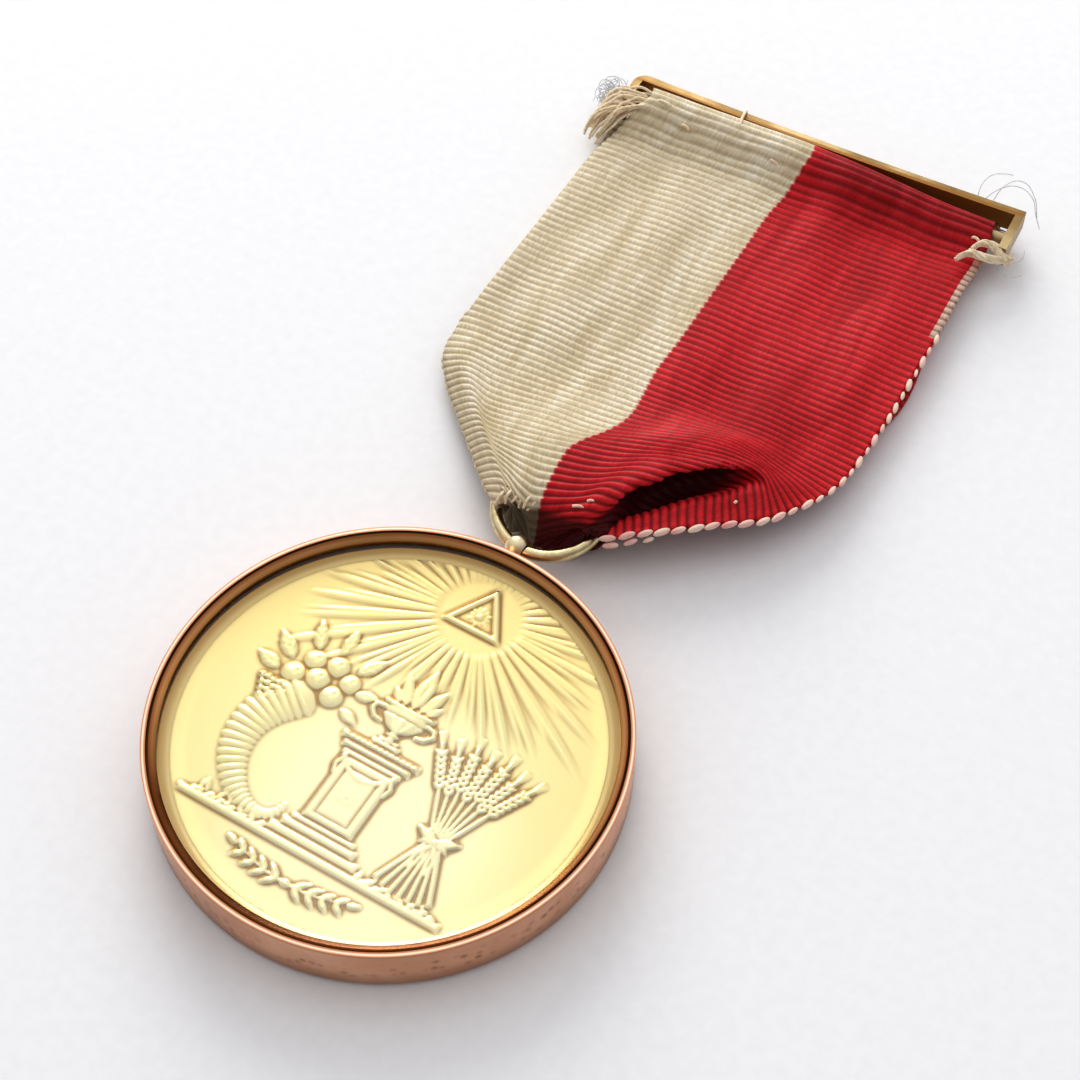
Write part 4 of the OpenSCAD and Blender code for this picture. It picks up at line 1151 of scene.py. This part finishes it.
def strikeUrn(net):
    # foot, stem, fluted bowl with a groove, rim, two handles and a flame
    slab(net, -7.5, -5.5, 7.5, -2, 0.36, 2.0)
    slab(net, -5, -2.4, 5, -0.2, 0.32, 1.6)
    stroke(net, [(0, -1), (0, 3.6)], [2.6, 1.9], 0.32)
    dome(net, 0, 2.2, 3.6, 1.4, 0.38)
    low, high = 3.2, 17
    t = np.clip((net["y"] - low) / (high - low), 0, 1)
    half = 12.2 * np.sin(math.pi / 2 * np.clip(t * 1.05, 0, 1)) ** 0.6 + 1e-6
    inside = np.where((net["y"] > low) & (net["y"] < high), 1 - (net["x"] / half) ** 2, 0)
    around = np.arcsin(np.clip(net["x"] / half, -1, 1))
    flutes = 0.035 * np.cos(around * 12) * (net["y"] < 11.5) * smoothStep(0.02, 0.2, inside)
    raiseTo(net, np.maximum(0.4 * np.maximum(inside, 0) ** 0.6 + flutes, 0))
    carve(net, 0.1 * np.exp(-((net["y"] - 12.2) / 0.6) ** 2) * (abs(net["x"]) < 12.6))
    slab(net, -13.5, 15.6, 13.5, 19, 0.42, 1.8)
    for side in (-1, 1):
        stroke(net, [(11.5 * side, 14.2), (15.4 * side, 13.8), (16.6 * side, 10.6), (13.4 * side, 7.2),
                     (9.6 * side, 6.6)], [1.3, 1.3, 1.3, 1.2, 1.0], 0.30)
    for x, y, angle, long, wide, height in (
            (0, 18, 90, 25, 10, 0.26), (-3.5, 18, 112, 18, 7.4, 0.22), (3.5, 18, 68, 18, 7.4, 0.22),
            (-6.5, 18, 128, 10, 4.8, 0.20), (6.5, 18, 52, 10, 4.8, 0.20), (1.2, 20, 84, 16, 4.6, 0.34)):
        leaf(net, x, y, angle, long, wide, height)


def strikeHorn(net):
    # a ribbed horn of plenty from its curled tail to its mouth, full of fruit, grapes and leaves
    line = np.array([(-22, -52), (-25, -59), (-32, -62), (-41, -60), (-49, -54), (-56, -45), (-60, -34),
                     (-60, -22), (-56, -11), (-49, -1)], float)
    knots = np.arange(len(line))
    rings = 27
    for i in range(rings + 1):
        at = np.array([i / rings * (len(line) - 1)])
        (x, y), (nextX, nextY) = throughKnots(knots, line, at)[0], throughKnots(knots, line, at - 0.05)[0]
        ahead = math.degrees(math.atan2(y - nextY, x - nextX))
        t = i / rings
        radius = 1.9 + 11 * t ** 1.15
        dome(net, x, y, 0.75 + 3.0 * t, radius, 0.14 + 0.24 * t, ahead)
        dome(net, x, y, 1.6 + 5.0 * t, radius * 0.96, 0.08 + 0.22 * t, ahead)
    for x, y, angle, long, wide in ((-66, 6, 165, 14, 8), (-63, 14, 142, 17, 8.5), (-55, 24, 118, 17, 8),
                                    (-44, 27, 92, 16, 7.5), (-32, 22, 55, 16, 7.5), (-27, 12, 15, 12, 6.5),
                                    (-28, 2, -20, 11, 6)):
        leaf(net, x, y, angle, long, wide, 0.24, 4)
    for x, y, r, height in ((-58, 7, 6.4, 0.38), (-42, 20, 6.0, 0.36), (-53, 18, 5.8, 0.35),
                            (-32, 15, 5.4, 0.34), (-47, 10, 6.6, 0.43), (-36, 5, 6.0, 0.40)):
        dome(net, x, y, r, r * 0.96, height)
        away = (net["x"] - x - r * 0.2) ** 2 + (net["y"] - y - r * 0.3) ** 2
        carve(net, 0.12 * np.exp(-away / 0.6))
    for i in range(17):
        row, place = divmod(i, 5)
        x, y = -70 + place * 3.1 + row * 1.5, -1 - row * 3.2 + 0.5 * (place % 2)
        dome(net, x, y, 1.9, 1.9, 0.36 - 0.03 * row)


def strikeSheaf(net):
    # a tied sheaf of wheat: a fan of stalks, ears with grains in pairs, awns, band and bow
    tieX, tieY = 46, -34
    for i in range(-3, 4):
        lean = 90 - i * 9.5
        a = math.radians(lean)
        c, s = math.cos(a), math.sin(a)
        reach = 25 + 3 * (i % 2)
        stroke(net, [(tieX + i * 0.9, tieY), (tieX + reach * c, tieY + reach * s)], [1.0, 1.0], 0.26)
        for grain in range(6):
            far = reach - 1 + grain * 3.3
            for side in (-1, 1):
                leaf(net, tieX + far * c, tieY + far * s, lean + 30 * side, 5.2, 2.6, 0.36)
        far = reach + 18
        leaf(net, tieX + far * c, tieY + far * s, lean, 6.5, 2.6, 0.34)
        for side in (-1, 0, 1):
            b = a + math.radians(10 * side)
            stroke(net, [(tieX + far * c, tieY + far * s),
                         (tieX + (far + 3) * c + 8 * math.cos(b), tieY + (far + 3) * s + 8 * math.sin(b))],
                   [0.6, 0.45], 0.16)
    for i in range(-3, 4):
        a = math.radians(-90 + i * 9)
        stroke(net, [(tieX + i * 0.9, tieY), (tieX + 30 * math.cos(a), tieY + 30 * math.sin(a))],
               [1.3, 1.5], 0.28)
    slab(net, tieX - 7.5, tieY - 3.4, tieX + 7.5, tieY + 2.9, 0.36, 2.4)
    carve(net, 0.06 * np.exp(-((net["y"] - tieY + 0.2) / 0.6) ** 2) * (abs(net["x"] - tieX) < 7))
    for side in (-1, 1):
        leaf(net, tieX, tieY, 90 - 68 * side, 12, 6, 0.42)
        stroke(net, [(tieX, tieY - 1), (tieX + 5 * side, tieY - 9), (tieX + 4 * side, tieY - 16)],
               [1.6, 1.4, 0.8], 0.34)
    dome(net, tieX, tieY, 2.6, 2.4, 0.46)


def strikeGround(net):
    # the ground line with pebbles and tufts of grass
    slab(net, -70, -70.5, 70, -66, 0.24, 1.6)
    for i in range(60):
        x = -62 + i * 2.15 + 0.8 * math.sin(i * 2.4)
        if abs(x) > 25:
            dome(net, x, -65.8 + 0.9 * math.sin(i * 1.9), 2.2, 1.4 + 0.6 * math.sin(i * 3.1) ** 2, 0.20)
    for i in range(24):
        x = -60 + i * 5.2 + 1.4 * math.sin(i * 5.1)
        if abs(x) > 26 and abs(x - 46) > 9:
            leaf(net, x, -65, 90 + 32 * math.sin(i * 2.3), 6 + 2 * math.sin(i), 2.4, 0.15)


def strikeSprigs(net):
    # two laurel sprigs tied together under the ground line
    for side in (-1, 1):
        stroke(net, [(0, -84), (12 * side, -83.5), (25 * side, -80)], [1.0, 0.9, 0.6], 0.18)
        for i in range(4):
            x = 4 + i * 6.6
            y = -84 + 0.006 * x * x
            for spread in (52, 128):
                leaf(net, x * side, y, 90 - spread * side, 8.6 - 0.5 * i, 3.6, 0.30, 2)
            dome(net, (x + 3.4) * side, y + 1.9, 1.1, 1.1, 0.30)
        leaf(net, 29 * side, -79, 90 - 72 * side, 7, 3.4, 0.28)
    dome(net, 0, -84, 2.8, 1.9, 0.28)


def averaged(heights, share):
    # heights drawn towards those beside them
    for axis in (0, 1):
        sides = (np.roll(heights, 1, axis) + np.roll(heights, -1, axis)) / 2
        heights = heights * (1 - share) + sides * share
    return heights


def makeDesign():
    sizes = medalSizes
    net = newNet()
    for strike in (strikeGlory, strikeHorn, strikeSheaf, strikeAltar, strikeUrn, strikeGround, strikeSprigs):
        strike(net)
    heights = net["height"] * sizes["relief"]
    for again in range(sizes["blur"]):
        heights = averaged(heights, 0.5)
    broad = heights
    for again in range(sizes["broadSteps"]):
        broad = averaged(broad, 0.66)
    # 1 where a place lies lower than what is round it, and -1 where it stands proud
    hollow = np.clip((broad - heights) / sizes["hollowDepth"], -1, 1)
    # the field curves up to its border
    heights += sizes["rise"] * smoothStep(sizes["riseFrom"], sizes["fieldR"] + sizes["risePast"],
                                          np.hypot(net["placeX"], net["placeY"]) * hundredth)
    deselectAll()
    bpy.ops.mesh.primitive_grid_add(x_subdivisions=sizes["cells"], y_subdivisions=sizes["cells"], size=2)
    design = lastMade("medal_design")
    shares = readPoints(design)
    i = np.rint((shares[:, 0] + 1) / 2 * sizes["cells"]).astype(int)
    j = np.rint((shares[:, 1] + 1) / 2 * sizes["cells"]).astype(int)
    points = np.stack([net["placeX"][j, i] * hundredth, net["placeY"][j, i] * hundredth,
                       sizes["fieldZ"] + heights[j, i]], axis=1)
    # what lies past the round edge goes, and the last row is drawn in to it
    out = np.hypot(points[:, 0], points[:, 1])
    edge = sizes["fieldR"] - sizes["gap"]
    past = out > edge
    points[past, :2] *= (edge / out[past])[:, None]
    writePoints(design, points * mm)
    setAttribute(design, "hollow", hollow[j, i])
    makeActive(design)
    bpy.ops.object.mode_set(mode="EDIT")
    bpy.ops.mesh.select_mode(type="VERT")
    bpy.ops.mesh.select_all(action="DESELECT")
    bpy.ops.object.mode_set(mode="OBJECT")
    for vertex, gone in zip(design.data.vertices, out > edge + sizes["lastRow"]):
        vertex.select = bool(gone)
    bpy.ops.object.mode_set(mode="EDIT")
    bpy.ops.mesh.delete(type="VERT")
    bpy.ops.mesh.select_non_manifold()
    bpy.ops.mesh.extrude_edges_move(TRANSFORM_OT_translate={"value": (0, 0, -sizes["skirt"] * mm)})
    bpy.ops.mesh.edge_face_add()
    bpy.ops.object.mode_set(mode="OBJECT")
    smoothShade(design, 50)
    return design


def turnedPiece(name, outline, turns):
    # spins an outline of (radius, height) in millimetres, from axis to axis, into a closed piece
    deselectAll()
    bpy.ops.mesh.primitive_circle_add(vertices=len(outline), radius=mm)
    piece = lastMade(name)
    writePoints(piece, [(r * mm, 0, z * mm) for r, z in outline])
    makeActive(piece)
    bpy.ops.object.mode_set(mode="EDIT")
    bpy.ops.mesh.select_all(action="SELECT")
    bpy.ops.mesh.spin(steps=turns, angle=2 * math.pi, center=(0, 0, 0), axis=(0, 0, 1))
    bpy.ops.mesh.select_all(action="SELECT")
    bpy.ops.mesh.remove_doubles(threshold=0.000002)
    bpy.ops.mesh.dissolve_degenerate(threshold=0.000001)
    bpy.ops.mesh.normals_make_consistent(inside=False)
    bpy.ops.object.mode_set(mode="OBJECT")
    return piece


def makeBlank():
    sizes = medalSizes
    low, field, top, seat = sizes["lowZ"], sizes["fieldZ"], sizes["borderZ"], sizes["seatR"]
    inner = sizes["fieldR"]
    # out along the underside, up the edge, over the border and down its slope to the field
    outline = [(0, low), (seat - 0.1, low), (seat, low + 0.1), (seat, top - 0.06), (seat - 0.06, top),
               (inner + 0.95, top), (inner + 0.78, top - 0.04), (inner + 0.5, field + 0.27),
               (inner + 0.25, field + 0.155), (inner, field + 0.088), (inner - 0.1, field - 0.03),
               (0, field - 0.03)]
    blank = turnedPiece("medal_blank", outline, sizes["turns"])
    smoothShade(blank, 40)
    return blank


def struckGilt():
    # struck and gilt bronze: fine satin field, bright where it stands proud, a deep ochre in the
    # hollows where a cloth can't reach
    material = newMaterial("struckGiltBronze")
    sizes = medalSizes
    place = addNode(material, "TexCoord")
    cloud = addNode(material, "TexNoise", {"Scale": 120, "Detail": 3}, {"Vector": place.outputs["Object"]})
    # painted light: palest round the brightest part, and a little yellower away from it
    off = addNode(material, "VectorMath",
                  {"operation": "DISTANCE", 1: [far * mm for far in sizes["paintedLightMiddle"]]},
                  {0: place.outputs["Object"]})
    away = addNode(material, "MapRange",
                   {"From Min": sizes["paintedLightReach"][0] * mm, "From Max": sizes["paintedLightReach"][1] * mm},
                   {"Value": off.outputs["Value"]})
    shift = addNode(material, "Math", {"operation": "MULTIPLY_ADD", 1: 0.36, 2: -0.18},
                    {0: cloud.outputs["Fac"]})
    tone = addNode(material, "Math", {"operation": "ADD", "use_clamp": True},
                   {0: away.outputs[0], 1: shift.outputs[0]})
    base = addNode(material, "ValToRGB", None, {"Fac": tone.outputs[0]},
                   [(0.1, "#F2E4B8"), (0.4, "#F0DFA8"), (0.68, "#F3DD9F"), (1.0, "#F2D691")])
    hollow = addNode(material, "Attribute", {"attribute_name": "hollow"})
    deep = addNode(material, "MapRange", {"From Min": 0.05, "From Max": 0.65, "To Max": 0.9},
                   {"Value": hollow.outputs["Fac"]})
    toned = addNode(material, "MixRGB", {"Color2": hexColour("#9A6D22")},
                    {"Fac": deep.outputs[0], "Color1": base.outputs[0]})
    proud = addNode(material, "MapRange", {"From Min": -0.15, "From Max": -0.8, "To Max": 0.4},
                    {"Value": hollow.outputs["Fac"]})
    bright = addNode(material, "MixRGB", {"Color2": hexColour("#FFF3C0")},
                     {"Fac": proud.outputs[0], "Color1": toned.outputs[0]})
    # the border is a deeper ochre
    parts = addNode(material, "SeparateXYZ", None, {"Vector": place.outputs["Object"]})
    flatPlace = addNode(material, "CombineXYZ", None, {"X": parts.outputs["X"], "Y": parts.outputs["Y"]})
    radius = addNode(material, "VectorMath", {"operation": "LENGTH"}, {0: flatPlace.outputs[0]})
    border = addNode(material, "MapRange",
                     {"From Min": sizes["borderTone"][0] * mm, "From Max": sizes["borderTone"][1] * mm,
                      "To Max": 0.8},
                     {"Value": radius.outputs["Value"]})
    colour = addNode(material, "MixRGB", {"Color2": hexColour("#B07E38")},
                     {"Fac": border.outputs[0], "Color1": bright.outputs[0]})
    rough = addNode(material, "MapRange", {"From Min": -0.5, "From Max": 0.6, "To Min": 0.27, "To Max": 0.38},
                    {"Value": hollow.outputs["Fac"]})
    # the satin grain of the die is about 0.05 mm, drawn at 0.15 mm so that it shows
    grain = addNode(material, "TexNoise", {"Scale": 6500, "Detail": 2}, {"Vector": place.outputs["Object"]})
    bump = addNode(material, "Bump", {"Strength": 0.12, "Distance": 0.00002},
                   {"Height": grain.outputs["Fac"]})
    shader = addNode(material, "BsdfPrincipled", {"Metallic": 1.0},
                     {"Base Color": colour.outputs[0], "Roughness": rough.outputs[0],
                      "Normal": bump.outputs[0]})
    return closeMaterial(material, shader)


gilt = struckGilt()
design = finishPiece(makeDesign(), gilt, "gilt_medal", "medal")
blank = finishPiece(makeBlank(), gilt, "gilt_medal", "medal")
print("medal struck with", len(design.data.polygons) + len(blank.data.polygons), "faces")


# Selvedge: loops of weft along the ribbon's right edge, one for two ribs, and small turns of it
# along the left one

selvedgeSizes = {
    "step": 1.43,
    "firstLoop": 0.7,
    "bigLoop": (0.73, 0.29, 0.28),
    "smallLoop": (0.58, 0.22, 0.2),
    "smallFromY": 33.5,
    "outBy": (0.12, 0.16),
    "upBy": (0.2, 0.08),
    "doubled": 3,
    "rightRows": (14, 57),
    "leftRows": (31, 53),
    "leftTurn": (0.34, 0.17, 0.2),
    "hang": 0.16,
    "slant": 0.5,
}


def clothSpot(column, row):
    # a place on a selvedge with its way along, its way outwards and the normal
    spot = clothSurface[column, row]
    beyond = min(row + 10, clothSurface.shape[1] - 1)
    along = Vector(clothSurface[column, beyond] - clothSurface[column, row - 10]).normalized()
    inner = column - 3 if column < 0 else column + 3
    outward = -Vector(clothSurface[inner, row] - spot)
    outward = (outward - along * outward.dot(along)).normalized()
    return Vector(spot), along, outward, along.cross(outward)


def edgeRows(first, last):
    # rows one rib apart, so that the ribs don't lengthen the edge
    edge = (clothRowPlaces > first) & (clothRowPlaces < last)
    return np.nonzero(edge)[0][::ribbonSizes["rowsPerRib"]]


def loopPlace(spot, along, outward, up, scale):
    # a matrix that puts a model of half size 1 mm at a spot in millimetres
    turn = Matrix((along, outward, up)).transposed().to_4x4()
    return Matrix.Translation(spot * mm) @ turn @ Matrix.Diagonal((*scale, 1))


def loopModel(name):
    # a plump slanted loop of thread: a ball whose ends hang down
    sizes = selvedgeSizes
    deselectAll()
    bpy.ops.mesh.primitive_uv_sphere_add(segments=14, ring_count=8, radius=mm)
    model = lastMade(name)
    points = readPoints(model) / mm
    points[:, 2] -= sizes["hang"] * points[:, 0] ** 2
    points[:, 1] += sizes["slant"] * points[:, 0]
    writePoints(model, points * mm)
    return model


def makeLoops():
    sizes = selvedgeSizes
    rows = edgeRows(*sizes["rightRows"])
    edge = clothSurface[-1][rows]
    run = np.concatenate([[0], np.cumsum(np.linalg.norm(np.diff(edge, axis=0), axis=1))])
    outBy, upBy = sizes["outBy"], sizes["upBy"]
    places = []
    for number, far in enumerate(np.arange(run[-1] - sizes["firstLoop"], 0, -sizes["step"])):
        spot, along, outward, up = clothSpot(-1, int(np.interp(far, run, rows)))
        # big near the ring, and small further up
        share = smoothStep(sizes["smallFromY"] - 2, sizes["smallFromY"] + 4, spot.y)
        grown = 1 - share
        wobble = 1 + (0.05 + 0.2 * share) * math.sin(number * 2.7)
        scale = [(s + (b - s) * grown) * wobble
                 for b, s in zip(sizes["bigLoop"], sizes["smallLoop"])]
        middle = spot + outward * (outBy[0] + outBy[1] * grown) + up * (upBy[0] + upBy[1] * grown)
        places.append(loopPlace(middle, along, outward, up, scale))
        # the first ones lie double beside the ring
        if number < sizes["doubled"]:
            lower = middle + outward * 0.35 - up * 0.5 - along * 0.25
            scale = [size * (0.95 - 0.12 * number) for size in scale]
            places.append(loopPlace(lower, along, outward, up, scale))
    return joinCopies(loopModel("loopModel"), places, "selvedge_loops")


def makeScallops():
    # the left selvedge is turned under the crease: only small cream turns of weft show along it
    sizes = selvedgeSizes
    places = []
    for number, row in enumerate(edgeRows(*sizes["leftRows"])):
        spot, along, outward, up = clothSpot(0, int(row) + 2)
        scale = [size * (0.92 + 0.22 * math.sin(number * 1.9)) for size in sizes["leftTurn"]]
        places.append(loopPlace(spot + outward * 0.06 + up * 0.2, along, outward, up, scale))
    return joinCopies(loopModel("turnModel"), places, "left_scallops")


def selvedgeThread():
    # undyed silk weft thread: cream with a flush of pink where the dye ran, soft and slightly glossy
    material = newMaterial("selvedgeSilkThread")
    place = addNode(material, "TexCoord")
    dye = addNode(material, "TexNoise", {"Scale": 420, "Detail": 2}, {"Vector": place.outputs["Object"]})
    base = addNode(material, "ValToRGB", None, {"Fac": dye.outputs["Fac"]},
                   [(0.35, "#F1DFC8"), (0.55, "#EFC9BB"), (0.72, "#E6A79F")])
    fibre = addNode(material, "TexNoise", {"Scale": 5200, "Detail": 2}, {"Vector": place.outputs["Object"]})
    bump = addNode(material, "Bump", {"Strength": 0.4, "Distance": 0.00004},
                   {"Height": fibre.outputs["Fac"]})
    shader = addNode(material, "BsdfPrincipled", {"Roughness": 0.55, "Specular IOR Level": 0.3},
                     {"Base Color": base.outputs[0], "Normal": bump.outputs[0]})
    return closeMaterial(material, shader)


edgeThread = selvedgeThread()
loops = finishPiece(makeLoops(), edgeThread, "ribbon_silk")
scallops = finishPiece(makeScallops(), silk, "ribbon_silk")
print("selvedge loops made with", len(loops.data.polygons) + len(scallops.data.polygons), "faces")


# Loose threads: frayed cords at both ends of the bar, stitches, and fine grey sewing thread

threadSizes = {
    "cord": 0.13,
    "hair": 0.034,
    "stitch": 0.15,
    "speck": 0.13,
    "leftFrom": (-13.9, 72.1, 3.5),
    "leftTo": (-16.7, 68.2, 1.0),
    "leftCount": 54,
    "rightCords": [
        [(20.6, 67.5, 3.1), (21.6, 68.3, 3.5), (22.9, 68.6, 3.2), (24.0, 69.3, 2.8), (24.7, 70.4, 2.4)],
        [(21.4, 69.1, 3.1), (22.2, 69.9, 3.6), (23.3, 70.1, 3.3), (24.1, 69.8, 2.9), (24.9, 69.9, 2.4)],
    ],
    "strandsPerCord": 12,
    "spread": 0.34,
    "fringeCount": 7,
    "fuzzMiddle": (-17.2, 73.0, 2.4),
    "fuzzCount": 22,
    "caughtCount": 9,
    "openHairs": [
        [(19.6, 75.3, 3.2), (19.5, 76.4, 3.9), (20.0, 77.6, 4.3), (21.0, 78.4, 4.2), (21.6, 79.2, 3.6)],
        [(20.2, 75.2, 3.3), (21.2, 76.3, 4.2), (22.6, 77.2, 4.4), (24.2, 77.0, 3.9), (25.2, 75.8, 3.0),
         (25.9, 75.2, 2.2)],
        [(21.0, 75.4, 3.2), (21.6, 76.6, 4.6), (22.9, 77.5, 4.9), (24.5, 76.9, 4.0), (25.3, 75.9, 2.7)],
        [(24.7, 69.9, 2.2), (25.4, 70.6, 1.9), (25.7, 71.7, 1.6), (25.5, 72.7, 1.5)],
        [(24.2, 68.9, 2.2), (25.0, 68.9, 1.6), (25.7, 69.4, 1.2), (26.2, 70.2, 0.9)],
    ],
    "railStitch": [(-3.4, 72.6, 4.45), (-3.6, 73.5, 4.4), (-3.8, 74.5, 4.0), (-3.95, 75.3, 3.75),
                   (-4.05, 75.75, 3.0), (-4.0, 75.7, 1.6)],
    "hemStitches": [(-8.3, 70.9, 0.55), (1.0, 70.7, 0.5), (-10.9, 72.0, 0.8), (21.3, 70.6, 0.4)],
    "specks": [(3.6, 25.1, 0.5, 20), (4.3, 25.9, 0.26, 30), (14.5, 32.4, 0.12, 70)],
}


def strand(start, end, bow, waver):
    # points from start to end, bowed aside and wavering a little
    start, end, bow = np.array(start, float), np.array(end, float), np.array(bow, float)
    knots = 6
    points = []
    for i in range(knots):
        t = i / (knots - 1)
        swing = np.array([math.sin(7.1 * t + start[0] * 9), math.sin(5.3 * t + start[1] * 7),
                          0.5 * math.sin(6.7 * t + end[0] * 5)])
        points.append(tuple(start + (end - start) * t + (bow + waver * swing) * math.sin(math.pi * t)))
    return points


def makeFrayedEnds():
    sizes = threadSizes
    threads = []
    # left: the cut warp hangs in a bundle over the arm's end
    count = sizes["leftCount"]
    for i in range(count):
        t = i / (count - 1)
        side = math.sin(i * 2.4)
        tall = math.cos(i * 1.7)
        start = np.array(sizes["leftFrom"]) + (0.35 * side, 0.7 - 2.4 * t, 0.25 * tall)
        if i % 3 == 0:
            start += (1.1, 0.25 + 0.5 * t, 0.35)  # these come out of the cloth's corner
        end = np.array(sizes["leftTo"]) + (0.8 * side + 0.3, 3.4 - 4.6 * t, 0.7 + 0.7 * tall)
        threads.append(strand(start, end, (-0.35 + 0.25 * side, 0.35 + 0.2 * tall, 0.7 + 0.2 * tall), 0.2))
    # right: two cords of weft are drawn out to the arm
    for line in sizes["rightCords"]:
        for i in range(sizes["strandsPerCord"]):
            turn = i * 2.4
            off = sizes["spread"] * math.sqrt(i / sizes["strandsPerCord"])
            twisted = []
            for k, (x, y, z) in enumerate(line):
                a = turn + k * 0.9
                wide = off * (1.6 if k == len(line) - 1 else 1)
                twisted.append((x + 0.5 * wide * math.cos(a), y + wide * math.cos(a), z + wide * math.sin(a)))
            threads.append(twisted)
    # a short fringe where the cream half turns down through the ring
    for i in range(sizes["fringeCount"]):
        t = i / (sizes["fringeCount"] - 1)
        root = np.array((-2.9 + 3.4 * t, 23.75 + 0.75 * t, 4.85 + 0.25 * math.sin(i * 1.9)))
        tip = root + (-0.2 + 0.25 * math.sin(i * 2.3), -0.4 - 0.2 * math.cos(i * 1.4), -0.6)
        threads.append([tuple(root + (0.1, 0.5, 0.1)), tuple(root + (0, -0.1, 0.05)), tuple(tip)])
    return threadPiece("frayed_ends", threads, sizes["cord"])


def makeHairs():
    # grey sewing thread, cut and curled: a fuzz beside the left end and open loops over the right one
    sizes = threadSizes
    threads = []
    for i in range(sizes["fuzzCount"]):
        a, b = i * 2.4, i * 1.3
        away = (0.5 * math.sin(b), 0.9 * math.cos(b * 0.7), 0.7 * math.sin(a))
        middle = np.array(sizes["fuzzMiddle"]) + away
        curl = []
        for k in range(7):
            c = a + k * (0.9 + 0.15 * math.sin(i))
            wide = 0.45 + 0.1 * k + 0.2 * math.sin(i * 3.1)
            curl.append(tuple(middle + (wide * math.cos(c), wide * math.sin(c), 0.35 * math.sin(c * 1.7))))
        threads.append(curl)
    # a few are caught in the bundle
    for i in range(sizes["caughtCount"]):
        start = (-15.4 - 0.15 * i, 70.4 + 0.35 * i, 2.6)
        end = (-17.6 + 0.2 * math.sin(i * 2), 69 + 0.6 * i, 1.6)
        threads.append(strand(start, end, (-0.4, 0.3, 0.4), 0.4))
    return threadPiece("grey_threads", threads + sizes["openHairs"], sizes["hair"])


def clothHeight(x, y):
    # the front leaf's height at a place
    front = (clothRowPlaces > 1) & (clothRowPlaces < ribbonSizes["frontEnd"])
    leafPart = clothSurface[:, front]
    away = (leafPart[..., 0] - x) ** 2 + (leafPart[..., 1] - y) ** 2
    return float(leafPart[..., 2].reshape(-1)[int(np.argmin(away))])


def makeStitches():
    # a stitch over the rail, and short ones through the hem
    sizes = threadSizes
    threads = [sizes["railStitch"]]
    for x, y, long in sizes["hemStitches"]:
        low, high = clothHeight(x, y) - 0.12, clothHeight(x, y) + 0.12
        threads.append([(x - long, y + 0.1, low), (x - long / 2, y, high),
                        (x + long / 2, y - 0.1, high), (x + long, y - 0.15, low)])
    return threadPiece("hem_stitches", threads, sizes["stitch"])


def makeSpecks():
    # short ends of thread on the crimson half
    threads = []
    for x, y, long, turn in threadSizes["specks"]:
        high = clothHeight(x, y)
        c, s = math.cos(math.radians(turn)) * long, math.sin(math.radians(turn)) * long
        threads.append([(x - c, y - s, high), (x, y, high + 0.1), (x + c, y + s, high)])
    return threadPiece("thread_specks", threads, threadSizes["speck"])


def looseThread(name, low, high, shine):
    # spun silk or cotton thread: fine fibres and a soft surface
    material = newMaterial(name)
    place = addNode(material, "TexCoord")
    fibre = addNode(material, "TexNoise", {"Scale": 2600, "Detail": 3}, {"Vector": place.outputs["Object"]})
    base = addNode(material, "ValToRGB", None, {"Fac": fibre.outputs["Fac"]}, [(0.32, low), (0.68, high)])
    bump = addNode(material, "Bump", {"Strength": 0.4, "Distance": 0.00004}, {"Height": fibre.outputs["Fac"]})
    shader = addNode(material, "BsdfPrincipled", {"Roughness": 0.7, "Specular IOR Level": shine},
                     {"Base Color": base.outputs[0], "Normal": bump.outputs[0]})
    return closeMaterial(material, shader)


frayedSilk = looseThread("frayedCreamSilkThread", "#E0C9A4", "#FDF0D8", 0.2)
frayedEnds = finishPiece(makeFrayedEnds(), frayedSilk, "ribbon_silk")
hemStitches = finishPiece(makeStitches(), frayedSilk, "ribbon_silk")
greySewing = looseThread("greySewingCotton", "#BDBEC2", "#E4E4E6", 0.15)
hairs = finishPiece(makeHairs(), greySewing, "ribbon_silk")
specks = finishPiece(makeSpecks(), edgeThread, "ribbon_silk")
looseParts = (frayedEnds, hemStitches, hairs, specks)
print("loose threads made with", sum(len(part.data.polygons) for part in looseParts), "faces")
